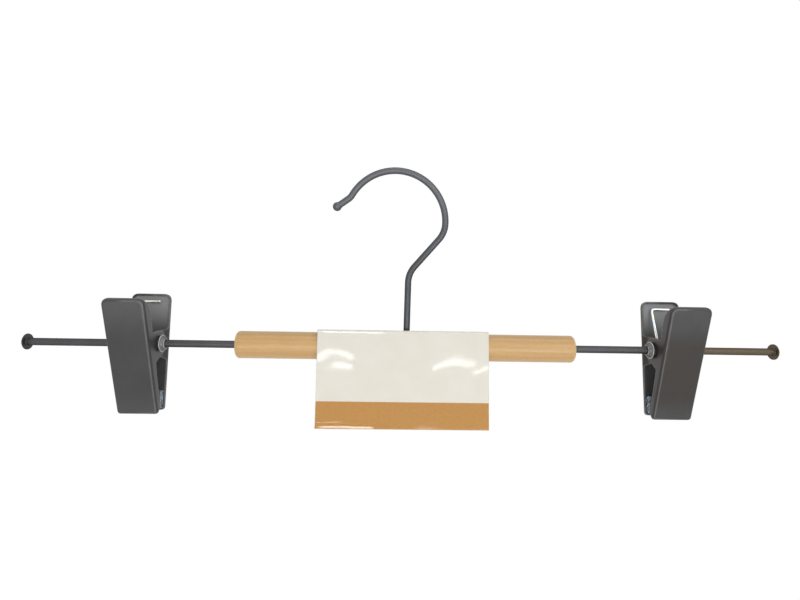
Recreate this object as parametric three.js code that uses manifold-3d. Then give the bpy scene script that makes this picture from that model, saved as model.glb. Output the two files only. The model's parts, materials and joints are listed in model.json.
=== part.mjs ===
// Clip hanger: a wooden bar with a headed steel rod in each end, a swivelling wire hook,
// a folded card over the bar, and a sliding spring clip on each rod.
// Millimetres, +X along the bar, -Y to the front, +Z up. The origin is where the hook hangs on a rail.
import * as THREE from "three";
import { mergeVertices } from "three/addons/utils/BufferGeometryUtils.js";
import Module from "manifold-3d";

const wasm = await Module();
wasm.setup();
const { Vector2, Vector3, Shape } = THREE;
const radians = THREE.MathUtils.degToRad;

// Bar
const OVERALL_LENGTH = 310;
const DOWEL_LENGTH = 137.6;
const DOWEL_DIAMETER = 11.1;
const DOWEL_EDGE_RADIUS = 1;
const ROD_DIAMETER = 3;
const ROD_INSERT = 32;
const ROD_SEAT_GAP = 0.15;
const ROD_HEAD_DIAMETER = 6.5;
const ROD_HEAD_RIM = 0.3;
const ROD_HEAD_DOME = 1.5;

// Hook, sizes along the wire's centre line
const HOOK_WIRE = 2.6;
const HOOK_RADIUS = 20.2;
const HOOK_SIDE = 5.95; // the arc's centre from the stem's axis
const HOOK_CENTRE_HEIGHT = 50.7; // the arc's centre above the rods
const HOOK_BEND_RADIUS = 10.1;
const HOOK_SHOULDER_LEAN = 40.2;
const HOOK_ARC = 150;
const HOOK_TIP_RADIUS = 5;
const HOOK_TIP_TURN = 24.2;
const HOOK_TIP_STUB = 5.5;
const HOOK_BALL_DIAMETER = 3.5;
const HOOK_HEAD_DIAMETER = 5;
const HOOK_HEAD_THICKNESS = 1.4;
const HOOK_HEAD_RECESS = 2.2;
const HOOK_RUNNING_GAP = 0.1;
const HOOK_HEAD_GAP = 0.3;
const HOOK_LEAN = 0.7; // its looseness in the bar

// Card
const CARD_WIDTH = 68.5;
const CARD_PANEL = 38.6; // each panel below its crease
const CARD_THICKNESS = 0.4;
const CARD_FRONT_FLARE = 10.4;
const CARD_REAR_FLARE = 2;
const CARD_SPINE_FALL = 9; // the spine's slope down to the rear
const CARD_GAP = 0.3; // between a panel and the bar
const CARD_SPINE_GAP = 0.65;
const CARD_CREASE = 0.7; // how far a crease's rounding reaches
const CARD_HOLE_DIAMETER = 6.8;
const CARD_SHIFT = -1.35; // its looseness on the hook

// Clips
const CLIP_SPACING = 218.9;
const CLIPS_SHIFT = 1; // where both stand along the rods
const CLIP_TOP_DEPTH = 25.2; // over both jaws
const CLIP_TIP_DEPTH = 7.4;
const JAW_LENGTH = 48.6;
const JAW_ABOVE_PIVOT = 21;
const JAW_TOP_WIDTH = 16.5;
const JAW_TIP_WIDTH = 16.4;
const JAW_TOP_CORNER = 3;
const JAW_TIP_CORNER = 1.5;
const JAW_EDGE_RADIUS = 1.2;
const SHEET = 0.8;
const TOP_LIP = 2;
const TIP_LIP = 1.6;
const FLANGE_SHOULDER = 4; // where a side flange runs down to the lips
const FLANGES = {
  front: { top: 4.9, tipSetback: 0.65 },
  rear: { top: 3.5, tipSetback: 1.2 },
};
const EAR_ABOVE = 6; // the ear's root from the pivot
const EAR_BELOW = 6.9;
const EAR_WALL = 2.4; // steel round the pivot hole
const EAR_DROP = 0.25; // the ear's round below the pivot
const EAR_GAP = 0.3; // between nested ears

// Pivot, from the rod outwards
const SLEEVE_ROD_GAP = 0.2;
const SLEEVE_WALL = 0.4;
const SLEEVE_PROUD = 0.4;
const EYELET_SLEEVE_GAP = 0.25;
const EYELET_WALL = 0.4;
const EYELET_RIM_OVERLAP = 0.7; // rim beyond the ear's hole
const EYELET_RIM_THICKNESS = 1.8;
const EYELET_RIM_ROUND = 0.5;
const EYELET_EAR_GAP = 0.25;
const EYELET_SIDE_GAP = 0.3;

// Grip pads
const PAD_HEIGHT = 7.2;
const PAD_SEAT_GAP = 0.15;
const PAD_MEETING_GAP = 0.3;
const PAD_RIDGES = 4;
const PAD_RIDGE_DEPTH = 0.6;

// Spring
const SPRING_WIRE = 1.1;
const SPRING_EYELET_GAP = 0.4;
const SPRING_COIL_GAP = 0.6; // least gap between its turns
const SPRING_COIL_REACH = 3.05; // the coil's ends from its middle
const SPRING_FACE_GAP = 0.3; // to the jaws' inner faces
const SPRING_ARM_REACH = 3.9; // an arm's top from the middle
const SPRING_BAR_REACH = 4; // a bar's free end from the middle
const SPRING_BAR_BEND = 1.4;
const SPRING_BAR_BELOW_TOP = 3.3;

// Facets
const ROUND_SIDES = 40;
const ROD_SIDES = 20;
const HOOK_SIDES = 10;
const EYELET_SIDES = 28;
const SPRING_SIDES = 6;
const SPRING_STEPS_A_TURN = 10;
const HOOK_ARC_STEPS = 20;
const BALL_SIDES = 14;
const BALL_RINGS = 10;
const CORNER_STEPS = 4;
const EDGE_STEPS = 2;
const OVERSHOOT = 2; // how far a cutter runs past what it cuts
const MERGE_DISTANCE = 1e-4;
const GAP_SAMPLES = 8; // points tried on each straight piece of wire
const GAP_SKIP = 4; // wire diameters along the wire that count as the same stretch

// Worked out from the sizes above
const rodRadius = ROD_DIAMETER / 2;
const dowelRadius = DOWEL_DIAMETER / 2;
const sleeveBore = rodRadius + SLEEVE_ROD_GAP;
const sleeveRadius = sleeveBore + SLEEVE_WALL;
const eyeletBore = sleeveRadius + EYELET_SLEEVE_GAP;
const eyeletRadius = eyeletBore + EYELET_WALL;
const earHole = eyeletRadius + EYELET_EAR_GAP;
const earRadius = earHole + EAR_WALL;
const jawBelowPivot = JAW_LENGTH - JAW_ABOVE_PIVOT;
const jawLean = Math.asin((CLIP_TOP_DEPTH - CLIP_TIP_DEPTH) / 2 / JAW_LENGTH);
const faceOffset = (CLIP_TOP_DEPTH / 2 - JAW_ABOVE_PIVOT * Math.sin(jawLean)) / Math.cos(jawLean);
const jawHalfWidth = (height, inset = 0) => {
  const share = (height + jawBelowPivot) / JAW_LENGTH;
  return THREE.MathUtils.lerp(JAW_TIP_WIDTH, JAW_TOP_WIDTH, share) / 2 - inset;
};
const eyeletGrip = jawHalfWidth(earRadius) + EYELET_SIDE_GAP;
const eyeletHalfLength = eyeletGrip + EYELET_RIM_THICKNESS;
const hookLean = radians(HOOK_LEAN);
const hookCentre = new Vector3(-HOOK_SIDE, 0, HOOK_CENTRE_HEIGHT);
hookCentre.applyAxisAngle(new Vector3(0, 1, 0), hookLean);
const hangHeight = hookCentre.z + HOOK_RADIUS - HOOK_WIRE / 2;

// A closed mesh with merged vertices and no sliver faces, as a solid for joining and cutting
function solidOf(geometry) {
  const bare = geometry.index ? geometry.toNonIndexed() : geometry.clone();
  bare.deleteAttribute("normal");
  bare.deleteAttribute("uv");
  const merged = mergeVertices(bare, MERGE_DISTANCE);
  const corners = merged.index.array;
  const triVerts = [];
  for (let i = 0; i < corners.length; i += 3) {
    const [a, b, c] = corners.slice(i, i + 3);
    if (a !== b && b !== c && c !== a) triVerts.push(a, b, c);
  }
  const vertProperties = merged.attributes.position.array;
  const build = (faces) =>
    new wasm.Manifold(new wasm.Mesh({ numProp: 3, vertProperties, triVerts: new Uint32Array(faces) }));
  const made = build(triVerts);
  return made.volume() > 0 ? made : build(triVerts.reverse());
}

function geometryOf(solid) {
  const { vertProperties, triVerts } = solid.getMesh();
  const geometry = new THREE.BufferGeometry();
  geometry.setAttribute("position", new THREE.Float32BufferAttribute(vertProperties, 3));
  geometry.setIndex(new THREE.Uint32BufferAttribute(triVerts, 1));
  const faceted = geometry.toNonIndexed();
  faceted.computeVertexNormals();
  return faceted;
}

// A profile of [radius, along] pairs turned about the X axis
function turnedAlongX(profile, sides) {
  const points = profile.map(([radius, along]) => new Vector2(radius, along));
  return solidOf(new THREE.LatheGeometry(points, sides).rotateZ(-Math.PI / 2));
}

const cylinderAlongX = (radius, from, to, sides) =>
  turnedAlongX([[0, from], [radius, from], [radius, to], [0, to]], sides);

function cylinderAlongZ(radius, from, to, sides) {
  const geometry = new THREE.CylinderGeometry(radius, radius, to - from, sides);
  return solidOf(geometry.rotateX(Math.PI / 2).translate(0, 0, (from + to) / 2));
}

// A side view drawn with X as depth (+Y) and Y as height (+Z), carried across the width (X)
function acrossWidth(shape, width) {
  const geometry = new THREE.ExtrudeGeometry(shape, {
    depth: width,
    bevelEnabled: false,
    curveSegments: CORNER_STEPS * 2,
  });
  const toPart = new THREE.Matrix4().makeBasis(
    new Vector3(0, 1, 0), new Vector3(0, 0, 1), new Vector3(1, 0, 0));
  return solidOf(geometry.translate(0, 0, -width / 2).applyMatrix4(toPart));
}

// A wire's centre line given point by point, so that bends and straights take rings where they need them
class WirePath extends THREE.Curve {
  constructor(points) {
    super();
    this.points = points;
  }

  getPointAt(share) {
    return this.points[Math.round(share * (this.points.length - 1))].clone();
  }

  getTangentAt(share) {
    const last = this.points.length - 1;
    const here = Math.round(share * last);
    const before = this.points[Math.max(here - 1, 0)];
    const after = this.points[Math.min(here + 1, last)];
    return after.clone().sub(before).normalize();
  }
}

function wireAlong(points, diameter, sides) {
  const section = new Shape(Array.from({ length: sides }, (_, i) => {
    const angle = (i * 2 * Math.PI) / sides;
    return new Vector2(Math.cos(angle), Math.sin(angle)).multiplyScalar(diameter / 2);
  }));
  return solidOf(new THREE.ExtrudeGeometry(section, {
    steps: points.length - 1,
    extrudePath: new WirePath(points),
  }));
}

// A wire bent in the XZ plane by straights and bends, as it is on a bending bench
class FlatBends {
  constructor(x, z, headingDegrees) {
    this.here = new Vector2(x, z);
    this.heading = radians(headingDegrees);
    this.points = [this.here.clone()];
  }

  straight(length) {
    this.here.add(new Vector2(Math.cos(this.heading), Math.sin(this.heading)).multiplyScalar(length));
    this.points.push(this.here.clone());
    return this;
  }

  // A positive turn is to the left
  bend(radius, turnDegrees, steps) {
    const turn = radians(turnDegrees);
    const side = Math.sign(turn) * radius;
    const toLeft = new Vector2(-Math.sin(this.heading), Math.cos(this.heading));
    const centre = toLeft.multiplyScalar(side).add(this.here);
    for (let i = 1; i <= steps; i += 1) {
      const angle = this.heading + (turn * i) / steps;
      this.points.push(new Vector2(Math.sin(angle), -Math.cos(angle)).multiplyScalar(side).add(centre));
    }
    this.heading += turn;
    this.here = this.points.at(-1).clone();
    return this;
  }

  path() {
    return this.points.map((p) => new Vector3(p.x, 0, p.y));
  }
}

const finish = (color, roughness, metalness, extra = {}) =>
  new THREE.MeshStandardMaterial({ color, roughness, metalness, ...extra });
const blackPaint = () => finish(0x47474a, 0.55, 0.3);
const rodPaint = () => finish(0x4a4c50, 0.45, 0.5);
const beech = () => finish(0xd0a56c, 0.6, 0);
const cardboard = () => finish(0xe3ded2, 0.4, 0);
const zincWire = () => finish(0xd8dde0, 0.25, 1);
const rivetSteel = () => finish(0x77787a, 0.4, 0.8);
const paleNylon = () => finish(0xb8b8b2, 0.5, 0);
const clearVinyl = () => finish(0xb9c4cc, 0.2, 0, { transparent: true, opacity: 0.6 });

function piece(name, solid, material) {
  const mesh = new THREE.Mesh(geometryOf(solid), material);
  mesh.name = name;
  return mesh;
}

// Points of a quarter-ellipse edge from [radius, along] = [wide, start] to [narrow, end]
function roundedEdge(wide, start, narrow, end, steps) {
  return Array.from({ length: steps + 1 }, (_, i) => {
    const angle = (i / steps) * (Math.PI / 2);
    return [narrow + (wide - narrow) * Math.cos(angle), start + (end - start) * Math.sin(angle)];
  });
}

const hookHeadSeat = -dowelRadius + HOOK_HEAD_RECESS;

function woodenDowel() {
  const half = DOWEL_LENGTH / 2;
  const edge = roundedEdge(
    dowelRadius, half - DOWEL_EDGE_RADIUS, dowelRadius - DOWEL_EDGE_RADIUS, half, CORNER_STEPS);
  const otherEdge = edge.map(([radius, along]) => [radius, -along]).reverse();
  const blank = turnedAlongX([[0, -half], ...otherEdge, ...edge, [0, half]], ROUND_SIDES);
  const seatRadius = rodRadius + ROD_SEAT_GAP;
  const seatEnd = half - ROD_INSERT - ROD_SEAT_GAP;
  const rightSeat = cylinderAlongX(seatRadius, seatEnd, half + OVERSHOOT, ROD_SIDES);
  const leftSeat = cylinderAlongX(seatRadius, -half - OVERSHOOT, -seatEnd, ROD_SIDES);
  const past = dowelRadius + OVERSHOOT;
  const stemReach = HOOK_WIRE / 2 + dowelRadius * Math.tan(hookLean);
  const stemHole = cylinderAlongZ(stemReach + HOOK_RUNNING_GAP, -past, past, ROD_SIDES);
  const headRecess = cylinderAlongZ(HOOK_HEAD_DIAMETER / 2 + HOOK_HEAD_GAP, -past, hookHeadSeat, ROD_SIDES);
  return blank.subtract(rightSeat).subtract(leftSeat).subtract(stemHole).subtract(headRecess);
}

// The right rod, from its seat in the bar out to its domed head
function headedRod() {
  const inner = DOWEL_LENGTH / 2 - ROD_INSERT;
  const outer = OVERALL_LENGTH / 2;
  const domeStart = outer - ROD_HEAD_DOME;
  const headRadius = ROD_HEAD_DIAMETER / 2;
  const dome = Array.from({ length: CORNER_STEPS + 1 }, (_, i) => {
    const share = 1 - i / CORNER_STEPS;
    return [headRadius * share, outer - ROD_HEAD_DOME * share ** 2];
  });
  const headFace = domeStart - ROD_HEAD_RIM;
  return turnedAlongX(
    [[0, inner], [rodRadius, inner], [rodRadius, headFace], [headRadius, headFace], ...dome], ROD_SIDES);
}

function hook() {
  const headTop = hookHeadSeat - HOOK_HEAD_GAP;
  const headBottom = headTop - HOOK_HEAD_THICKNESS;
  const lean = radians(HOOK_SHOULDER_LEAN);
  const arcEdge = HOOK_RADIUS - HOOK_SIDE;
  const bendsAcross = 2 * HOOK_BEND_RADIUS * (1 - Math.cos(lean));
  const shoulder = (arcEdge - bendsAcross) / Math.sin(lean);
  const shoulderRise = 2 * HOOK_BEND_RADIUS * Math.sin(lean) + shoulder * Math.cos(lean);
  const stemTop = HOOK_CENTRE_HEIGHT - shoulderRise;
  const route = new FlatBends(0, headTop - HOOK_HEAD_THICKNESS / 2, 90)
    .straight(stemTop - headTop + HOOK_HEAD_THICKNESS / 2)
    .bend(HOOK_BEND_RADIUS, -HOOK_SHOULDER_LEAN, CORNER_STEPS)
    .straight(shoulder)
    .bend(HOOK_BEND_RADIUS, HOOK_SHOULDER_LEAN, CORNER_STEPS)
    .bend(HOOK_RADIUS, HOOK_ARC, HOOK_ARC_STEPS)
    .bend(HOOK_TIP_RADIUS, -HOOK_TIP_TURN, CORNER_STEPS)
    .straight(HOOK_TIP_STUB);
  const points = route.path();
  const tip = points.at(-1);
  const ball = new THREE.SphereGeometry(HOOK_BALL_DIAMETER / 2, BALL_SIDES, BALL_RINGS);
  ball.translate(tip.x, tip.y, tip.z);
  const head = cylinderAlongZ(HOOK_HEAD_DIAMETER / 2, headBottom, headTop, ROD_SIDES);
  return wireAlong(points, HOOK_WIRE, HOOK_SIDES).add(solidOf(ball)).add(head);
}

// Where two lines cross, each given by its normal and its distance from the origin
function crossing(normal, distance, otherNormal, otherDistance) {
  const turn = normal.cross(otherNormal);
  const x = (distance * otherNormal.y - otherDistance * normal.y) / turn;
  const y = (otherDistance * normal.x - distance * otherNormal.x) / turn;
  return new Vector2(x, y);
}

// A closed outline; a corner's curve starts and ends its reach away along the two sides
function roundedOutline(corners) {
  const shape = new Shape();
  corners.forEach(({ at, reach }, i) => {
    const towards = (other) => other.at.clone().sub(at).setLength(reach).add(at);
    const start = towards(corners.at(i - 1));
    const end = towards(corners[(i + 1) % corners.length]);
    if (i === 0) shape.moveTo(start.x, start.y);
    else shape.lineTo(start.x, start.y);
    if (reach > 0) shape.quadraticCurveTo(at.x, at.y, end.x, end.y);
  });
  shape.closePath();
  return shape;
}

// The card's end view is one creased strip: rear panel, spine, front panel, each clear of the bar
function foldedCard() {
  const facing = (degrees) => new Vector2(1, 0).rotateAround(new Vector2(), radians(degrees));
  const rear = facing(CARD_REAR_FLARE);
  const spine = facing(90 - CARD_SPINE_FALL);
  const front = facing(180 - CARD_FRONT_FLARE);
  const creases = (offset) => {
    const panel = dowelRadius + CARD_GAP + offset;
    const top = dowelRadius + CARD_SPINE_GAP + offset;
    return [crossing(rear, panel, spine, top), crossing(spine, top, front, panel)];
  };
  const [rearInside, frontInside] = creases(0);
  const [rearCrease, frontCrease] = creases(CARD_THICKNESS);
  const rearDown = new Vector2(rear.y, -rear.x);
  const frontDown = new Vector2(-front.y, front.x);
  const rearEnd = rearCrease.clone().addScaledVector(rearDown, CARD_PANEL);
  const frontEnd = frontCrease.clone().addScaledVector(frontDown, CARD_PANEL);
  const insideReach = CARD_CREASE - CARD_THICKNESS;
  const strip = roundedOutline([
    { at: rearEnd.clone().addScaledVector(rear, -CARD_THICKNESS), reach: 0 },
    { at: rearEnd, reach: 0 },
    { at: rearCrease, reach: CARD_CREASE },
    { at: frontCrease, reach: CARD_CREASE },
    { at: frontEnd, reach: 0 },
    { at: frontEnd.clone().addScaledVector(front, -CARD_THICKNESS), reach: 0 },
    { at: frontInside, reach: insideReach },
    { at: rearInside, reach: insideReach },
  ]);
  const hole = cylinderAlongZ(CARD_HOLE_DIAMETER / 2, 0, frontCrease.y + OVERSHOOT, ROD_SIDES);
  return acrossWidth(strip, CARD_WIDTH).subtract(hole);
}

// A jaw's face seen from the front: a slim trapezium with rounded corners, drawn in by an inset
function jawOutline(inset) {
  const top = JAW_ABOVE_PIVOT - inset;
  const bottom = -jawBelowPivot + inset;
  const corner = (side, height, radius) => ({
    at: new Vector2(side * jawHalfWidth(height, inset), height),
    reach: Math.max(radius - inset, SHEET / 2),
  });
  return roundedOutline([
    corner(-1, bottom, JAW_TIP_CORNER),
    corner(1, bottom, JAW_TIP_CORNER),
    corner(1, top, JAW_TOP_CORNER),
    corner(-1, top, JAW_TOP_CORNER),
  ]);
}

// The outline as a block that starts a given way behind the jaw's outer face and runs to the rear
function jawBlock(inset, start, edgeRadius) {
  const depth = faceOffset + earRadius + OVERSHOOT - start;
  const geometry = new THREE.ExtrudeGeometry(jawOutline(inset), {
    depth: depth - 2 * edgeRadius,
    bevelEnabled: edgeRadius > 0,
    bevelThickness: edgeRadius,
    bevelSize: edgeRadius,
    bevelOffset: -edgeRadius,
    bevelSegments: EDGE_STEPS,
    curveSegments: CORNER_STEPS,
  });
  geometry.rotateX(Math.PI / 2).translate(0, depth - edgeRadius - faceOffset + start, 0);
  return solidOf(geometry);
}

// Where the two jaws' meeting plane lies at a height, measured from a jaw's outer face
const meetingDepth = (height) => faceOffset + height * Math.tan(jawLean);

function flangeDepth(flange, height) {
  const tipDepth = meetingDepth(-jawBelowPivot) - flange.tipSetback;
  const share = (height + jawBelowPivot) / JAW_LENGTH;
  return THREE.MathUtils.lerp(tipDepth, flange.top, share);
}

// The ear's edge runs from its root, tangent to the round at the pivot, and back to its root
function addEar(shape, upperRoot, lowerRoot) {
  const middle = new Vector2(0, -EAR_DROP);
  const upperWay = upperRoot.clone().sub(middle);
  const lowerWay = lowerRoot.clone().sub(middle);
  const upperAngle = upperWay.angle() - Math.acos(earRadius / upperWay.length());
  const lowerAngle = lowerWay.angle() + Math.acos(earRadius / lowerWay.length());
  shape.lineTo(upperRoot.x, upperRoot.y);
  shape.absarc(middle.x, middle.y, earRadius, upperAngle, lowerAngle, true);
  shape.lineTo(lowerRoot.x, lowerRoot.y);
}

// A jaw from the side: lips at both ends, the flange between them, and the ear where it is asked for
function jawSideView(flange, withEar) {
  const edgeAt = (height) => new Vector2(flangeDepth(flange, height) - faceOffset, height);
  const front = -faceOffset - OVERSHOOT;
  const topShoulder = JAW_ABOVE_PIVOT - SHEET - FLANGE_SHOULDER;
  const tipShoulder = -jawBelowPivot + SHEET + JAW_TIP_CORNER;
  const shape = new Shape();
  shape.moveTo(front, JAW_ABOVE_PIVOT + OVERSHOOT);
  shape.lineTo(TOP_LIP - faceOffset, JAW_ABOVE_PIVOT + OVERSHOOT);
  shape.lineTo(TOP_LIP - faceOffset, JAW_ABOVE_PIVOT - SHEET);
  shape.lineTo(edgeAt(topShoulder).x, topShoulder);
  if (withEar) addEar(shape, edgeAt(EAR_ABOVE), edgeAt(-EAR_BELOW));
  shape.lineTo(edgeAt(tipShoulder).x, tipShoulder);
  shape.lineTo(TIP_LIP - faceOffset, -jawBelowPivot + SHEET);
  shape.lineTo(TIP_LIP - faceOffset, -jawBelowPivot - OVERSHOOT);
  shape.lineTo(front, -jawBelowPivot - OVERSHOOT);
  shape.closePath();
  return shape;
}

// The part of a rear jaw's side that stands inside the front jaw's ears
function innerEarSideView(flange) {
  const root = new Vector2(flangeDepth(flange, 0) - faceOffset, 0);
  const shape = new Shape();
  shape.moveTo(SHEET / 2 - faceOffset, -EAR_BELOW);
  shape.lineTo(SHEET / 2 - faceOffset, EAR_ABOVE);
  addEar(shape, new Vector2(root.x, EAR_ABOVE), new Vector2(root.x, -EAR_BELOW));
  shape.closePath();
  return shape;
}

const pivotHole = () => cylinderAlongX(earHole, -eyeletHalfLength, eyeletHalfLength, EYELET_SIDES);
const clipSpan = JAW_TOP_WIDTH + 2 * OVERSHOOT;

const tray = () => jawBlock(0, 0, JAW_EDGE_RADIUS).subtract(jawBlock(SHEET, SHEET, 0));

// Both jaws are drawn facing the front, about the pivot
function frontJaw() {
  const sideView = acrossWidth(jawSideView(FLANGES.front, true), clipSpan);
  return tray().intersect(sideView).subtract(pivotHole());
}

function rearJaw() {
  const sideView = acrossWidth(jawSideView(FLANGES.rear, false), clipSpan);
  const earView = acrossWidth(innerEarSideView(FLANGES.rear), clipSpan);
  const earOutside = SHEET + EAR_GAP;
  const wall = (outside) => jawBlock(outside, 0, 0).subtract(jawBlock(earOutside + SHEET, 0, 0));
  const ears = wall(earOutside).intersect(earView);
  const rootStep = wall(SHEET / 2).intersect(earView).intersect(sideView);
  return tray().intersect(sideView).add(ears).add(rootStep).subtract(pivotHole());
}

// A pad lies in the tray's tip, ridged across its grip, and its lowest ridge reaches the meeting plane
function gripPad() {
  const seat = SHEET + PAD_SEAT_GAP;
  const bottom = -jawBelowPivot + seat;
  const back = -faceOffset;
  const pitch = PAD_HEIGHT / PAD_RIDGES;
  const crest = meetingDepth(bottom + pitch / 2) - faceOffset - PAD_MEETING_GAP / 2 / Math.cos(jawLean);
  const shape = new Shape();
  shape.moveTo(back, bottom);
  for (let i = 0; i < PAD_RIDGES; i += 1) {
    const foot = bottom + i * pitch;
    shape.lineTo(crest - PAD_RIDGE_DEPTH, foot);
    shape.quadraticCurveTo(crest + PAD_RIDGE_DEPTH, foot + pitch / 2, crest - PAD_RIDGE_DEPTH, foot + pitch);
  }
  shape.lineTo(back, bottom + PAD_HEIGHT);
  shape.closePath();
  return acrossWidth(shape, clipSpan).intersect(jawBlock(seat, seat, 0));
}

function pivotEyelet() {
  const rim = earHole + EYELET_RIM_OVERLAP;
  const rolled = eyeletHalfLength - EYELET_RIM_ROUND;
  const end = [
    [eyeletRadius, eyeletGrip],
    [rim, eyeletGrip],
    ...roundedEdge(rim, rolled, rim - EYELET_RIM_ROUND, eyeletHalfLength, EDGE_STEPS),
    [eyeletRadius, eyeletHalfLength],
    [eyeletBore, eyeletHalfLength - EYELET_WALL],
  ];
  const otherEnd = end.map(([radius, along]) => [radius, -along]).reverse();
  return turnedAlongX([...otherEnd, ...end, otherEnd[0]], EYELET_SIDES);
}

function frictionSleeve() {
  const half = eyeletHalfLength + SLEEVE_PROUD;
  const profile = [[sleeveBore, -half], [sleeveRadius, -half], [sleeveRadius, half], [sleeveBore, half]];
  return turnedAlongX([...profile, profile[0]], ROD_SIDES);
}

// A point at a depth and height on the rear jaw, in the clip's own upright frame
function onRearJaw(offset, height) {
  const y = offset * Math.cos(jawLean) + height * Math.sin(jawLean);
  const z = height * Math.cos(jawLean) - offset * Math.sin(jawLean);
  return new Vector2(y, z);
}

// A torsion spring: each end is a bar across a jaw's inner face, and an arm runs from the bar down to
// the coil, which rides on the eyelet with as many whole turns as fit. The rear half is worked out, and
// the front half is the same one turned half round about the upright.
function springPath() {
  const coilRadius = eyeletRadius + SPRING_EYELET_GAP + SPRING_WIRE / 2;
  const bearing = faceOffset - SHEET - SPRING_FACE_GAP - SPRING_WIRE / 2;
  const bar = onRearJaw(bearing, JAW_ABOVE_PIVOT - SPRING_BAR_BELOW_TOP);
  const leavingAngle = bar.angle() - Math.acos(coilRadius / bar.length());
  const partTurn = (Math.PI + 2 * leavingAngle) / (2 * Math.PI);
  const roomForTurns = (2 * SPRING_COIL_REACH) / (SPRING_WIRE + SPRING_COIL_GAP);
  const halfSweep = (Math.floor(roomForTurns - partTurn) + partTurn) * Math.PI;
  const coilSteps = Math.round((SPRING_STEPS_A_TURN * halfSweep) / (2 * Math.PI));
  const coil = Array.from({ length: coilSteps + 1 }, (_, i) => {
    const share = i / coilSteps;
    const angle = leavingAngle - halfSweep * share;
    const x = SPRING_COIL_REACH * (share - 1);
    return new Vector3(x, coilRadius * Math.cos(angle), coilRadius * Math.sin(angle));
  });
  const freeEnd = new Vector3(SPRING_BAR_REACH, bar.x, bar.y);
  const corner = new Vector3(-SPRING_ARM_REACH, bar.x, bar.y);
  const fromCorner = (point) => point.clone().sub(corner).setLength(SPRING_BAR_BEND).add(corner);
  const bend = new THREE.QuadraticBezierCurve3(fromCorner(freeEnd), corner, fromCorner(coil[0]));
  const rearHalf = [freeEnd, ...bend.getPoints(CORNER_STEPS), ...coil];
  const frontHalf = rearHalf.slice(0, -1).reverse().map((p) => new Vector3(-p.x, -p.y, p.z));
  return [...rearHalf, ...frontHalf];
}

// The least clear distance between stretches of a wire that are not next to each other
function leastGap(points, diameter) {
  const fine = [];
  for (let i = 1; i < points.length; i += 1) {
    for (let k = 0; k < GAP_SAMPLES; k += 1) {
      fine.push(points[i - 1].clone().lerp(points[i], k / GAP_SAMPLES));
    }
  }
  const along = [0];
  for (let i = 1; i < fine.length; i += 1) along.push(along[i - 1] + fine[i].distanceTo(fine[i - 1]));
  let least = Infinity;
  for (let i = 0; i < fine.length; i += 1) {
    for (let j = i + 1; j < fine.length; j += 1) {
      if (along[j] - along[i] > GAP_SKIP * diameter) least = Math.min(least, fine[i].distanceTo(fine[j]));
    }
  }
  return least - diameter;
}

// Assembly: everything is placed from the bar's middle, and the bar hangs under the hook's saddle
const bar = new THREE.Group();
bar.position.set(-hookCentre.x, 0, -hangHeight);
bar.add(piece("wooden_dowel", woodenDowel(), beech()));

const hookPiece = piece("hook", hook(), rodPaint());
hookPiece.rotation.y = hookLean;
bar.add(hookPiece);

const card = piece("label_card", foldedCard(), cardboard());
card.position.x = CARD_SHIFT;
bar.add(card);

const springLine = springPath();
console.log("spring: least gap to itself", leastGap(springLine, SPRING_WIRE).toFixed(2), "mm");

const sides = [
  { name: "left", sign: -1 },
  { name: "right", sign: 1 },
];
for (const { name, sign } of sides) {
  const rod = piece(`${name}_rod`, headedRod(), rodPaint());
  rod.rotation.z = sign < 0 ? Math.PI : 0;
  bar.add(rod);

  const clip = new THREE.Group();
  clip.position.x = CLIPS_SHIFT + (sign * CLIP_SPACING) / 2;
  const front = new THREE.Group();
  front.rotation.x = jawLean;
  front.add(piece(`${name}_front_jaw`, frontJaw(), blackPaint()));
  front.add(piece(`${name}_front_pad`, gripPad(), clearVinyl()));
  const rear = new THREE.Group();
  rear.rotation.set(-jawLean, 0, Math.PI);
  rear.add(piece(`${name}_rear_jaw`, rearJaw(), blackPaint()));
  rear.add(piece(`${name}_rear_pad`, gripPad(), clearVinyl()));
  clip.add(front, rear);
  clip.add(piece(`${name}_pivot_eyelet`, pivotEyelet(), rivetSteel()));
  clip.add(piece(`${name}_friction_sleeve`, frictionSleeve(), paleNylon()));
  clip.add(piece(`${name}_spring`, wireAlong(springLine, SPRING_WIRE, SPRING_SIDES), zincWire()));
  bar.add(clip);
}

const clipHanger = new THREE.Group();
clipHanger.add(bar);

export default clipHanger;
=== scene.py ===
import json

import bmesh
import bpy
import numpy as np
from mathutils import Matrix
from numpy import cos, linspace, pi, radians, sin


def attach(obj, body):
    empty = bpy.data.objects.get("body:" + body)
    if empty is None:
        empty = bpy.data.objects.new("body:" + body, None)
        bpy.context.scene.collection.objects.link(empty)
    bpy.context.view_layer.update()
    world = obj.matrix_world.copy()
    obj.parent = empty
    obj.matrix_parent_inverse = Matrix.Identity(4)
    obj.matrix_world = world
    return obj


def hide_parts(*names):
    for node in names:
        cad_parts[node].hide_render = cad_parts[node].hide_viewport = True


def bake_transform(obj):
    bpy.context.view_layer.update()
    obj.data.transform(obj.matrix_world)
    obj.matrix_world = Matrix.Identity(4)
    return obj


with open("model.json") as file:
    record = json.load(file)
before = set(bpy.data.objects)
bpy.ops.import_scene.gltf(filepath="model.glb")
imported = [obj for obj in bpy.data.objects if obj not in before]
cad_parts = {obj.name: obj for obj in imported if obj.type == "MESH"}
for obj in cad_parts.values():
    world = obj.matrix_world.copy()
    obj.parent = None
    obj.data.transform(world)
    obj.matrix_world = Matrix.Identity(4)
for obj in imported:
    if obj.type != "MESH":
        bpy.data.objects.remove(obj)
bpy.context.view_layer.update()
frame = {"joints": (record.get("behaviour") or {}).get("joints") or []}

# Sizes in millimetres, as on the part; places come from the frame's joints
MM = 0.001
DOWEL_LENGTH = 137.6
DOWEL_RADIUS = 5.55
DOWEL_EDGE = 1.0
DOWEL_END_RINGS = (3.6, 2.6)
DOWEL_SEAT_CHAMFER = 0.15
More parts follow.
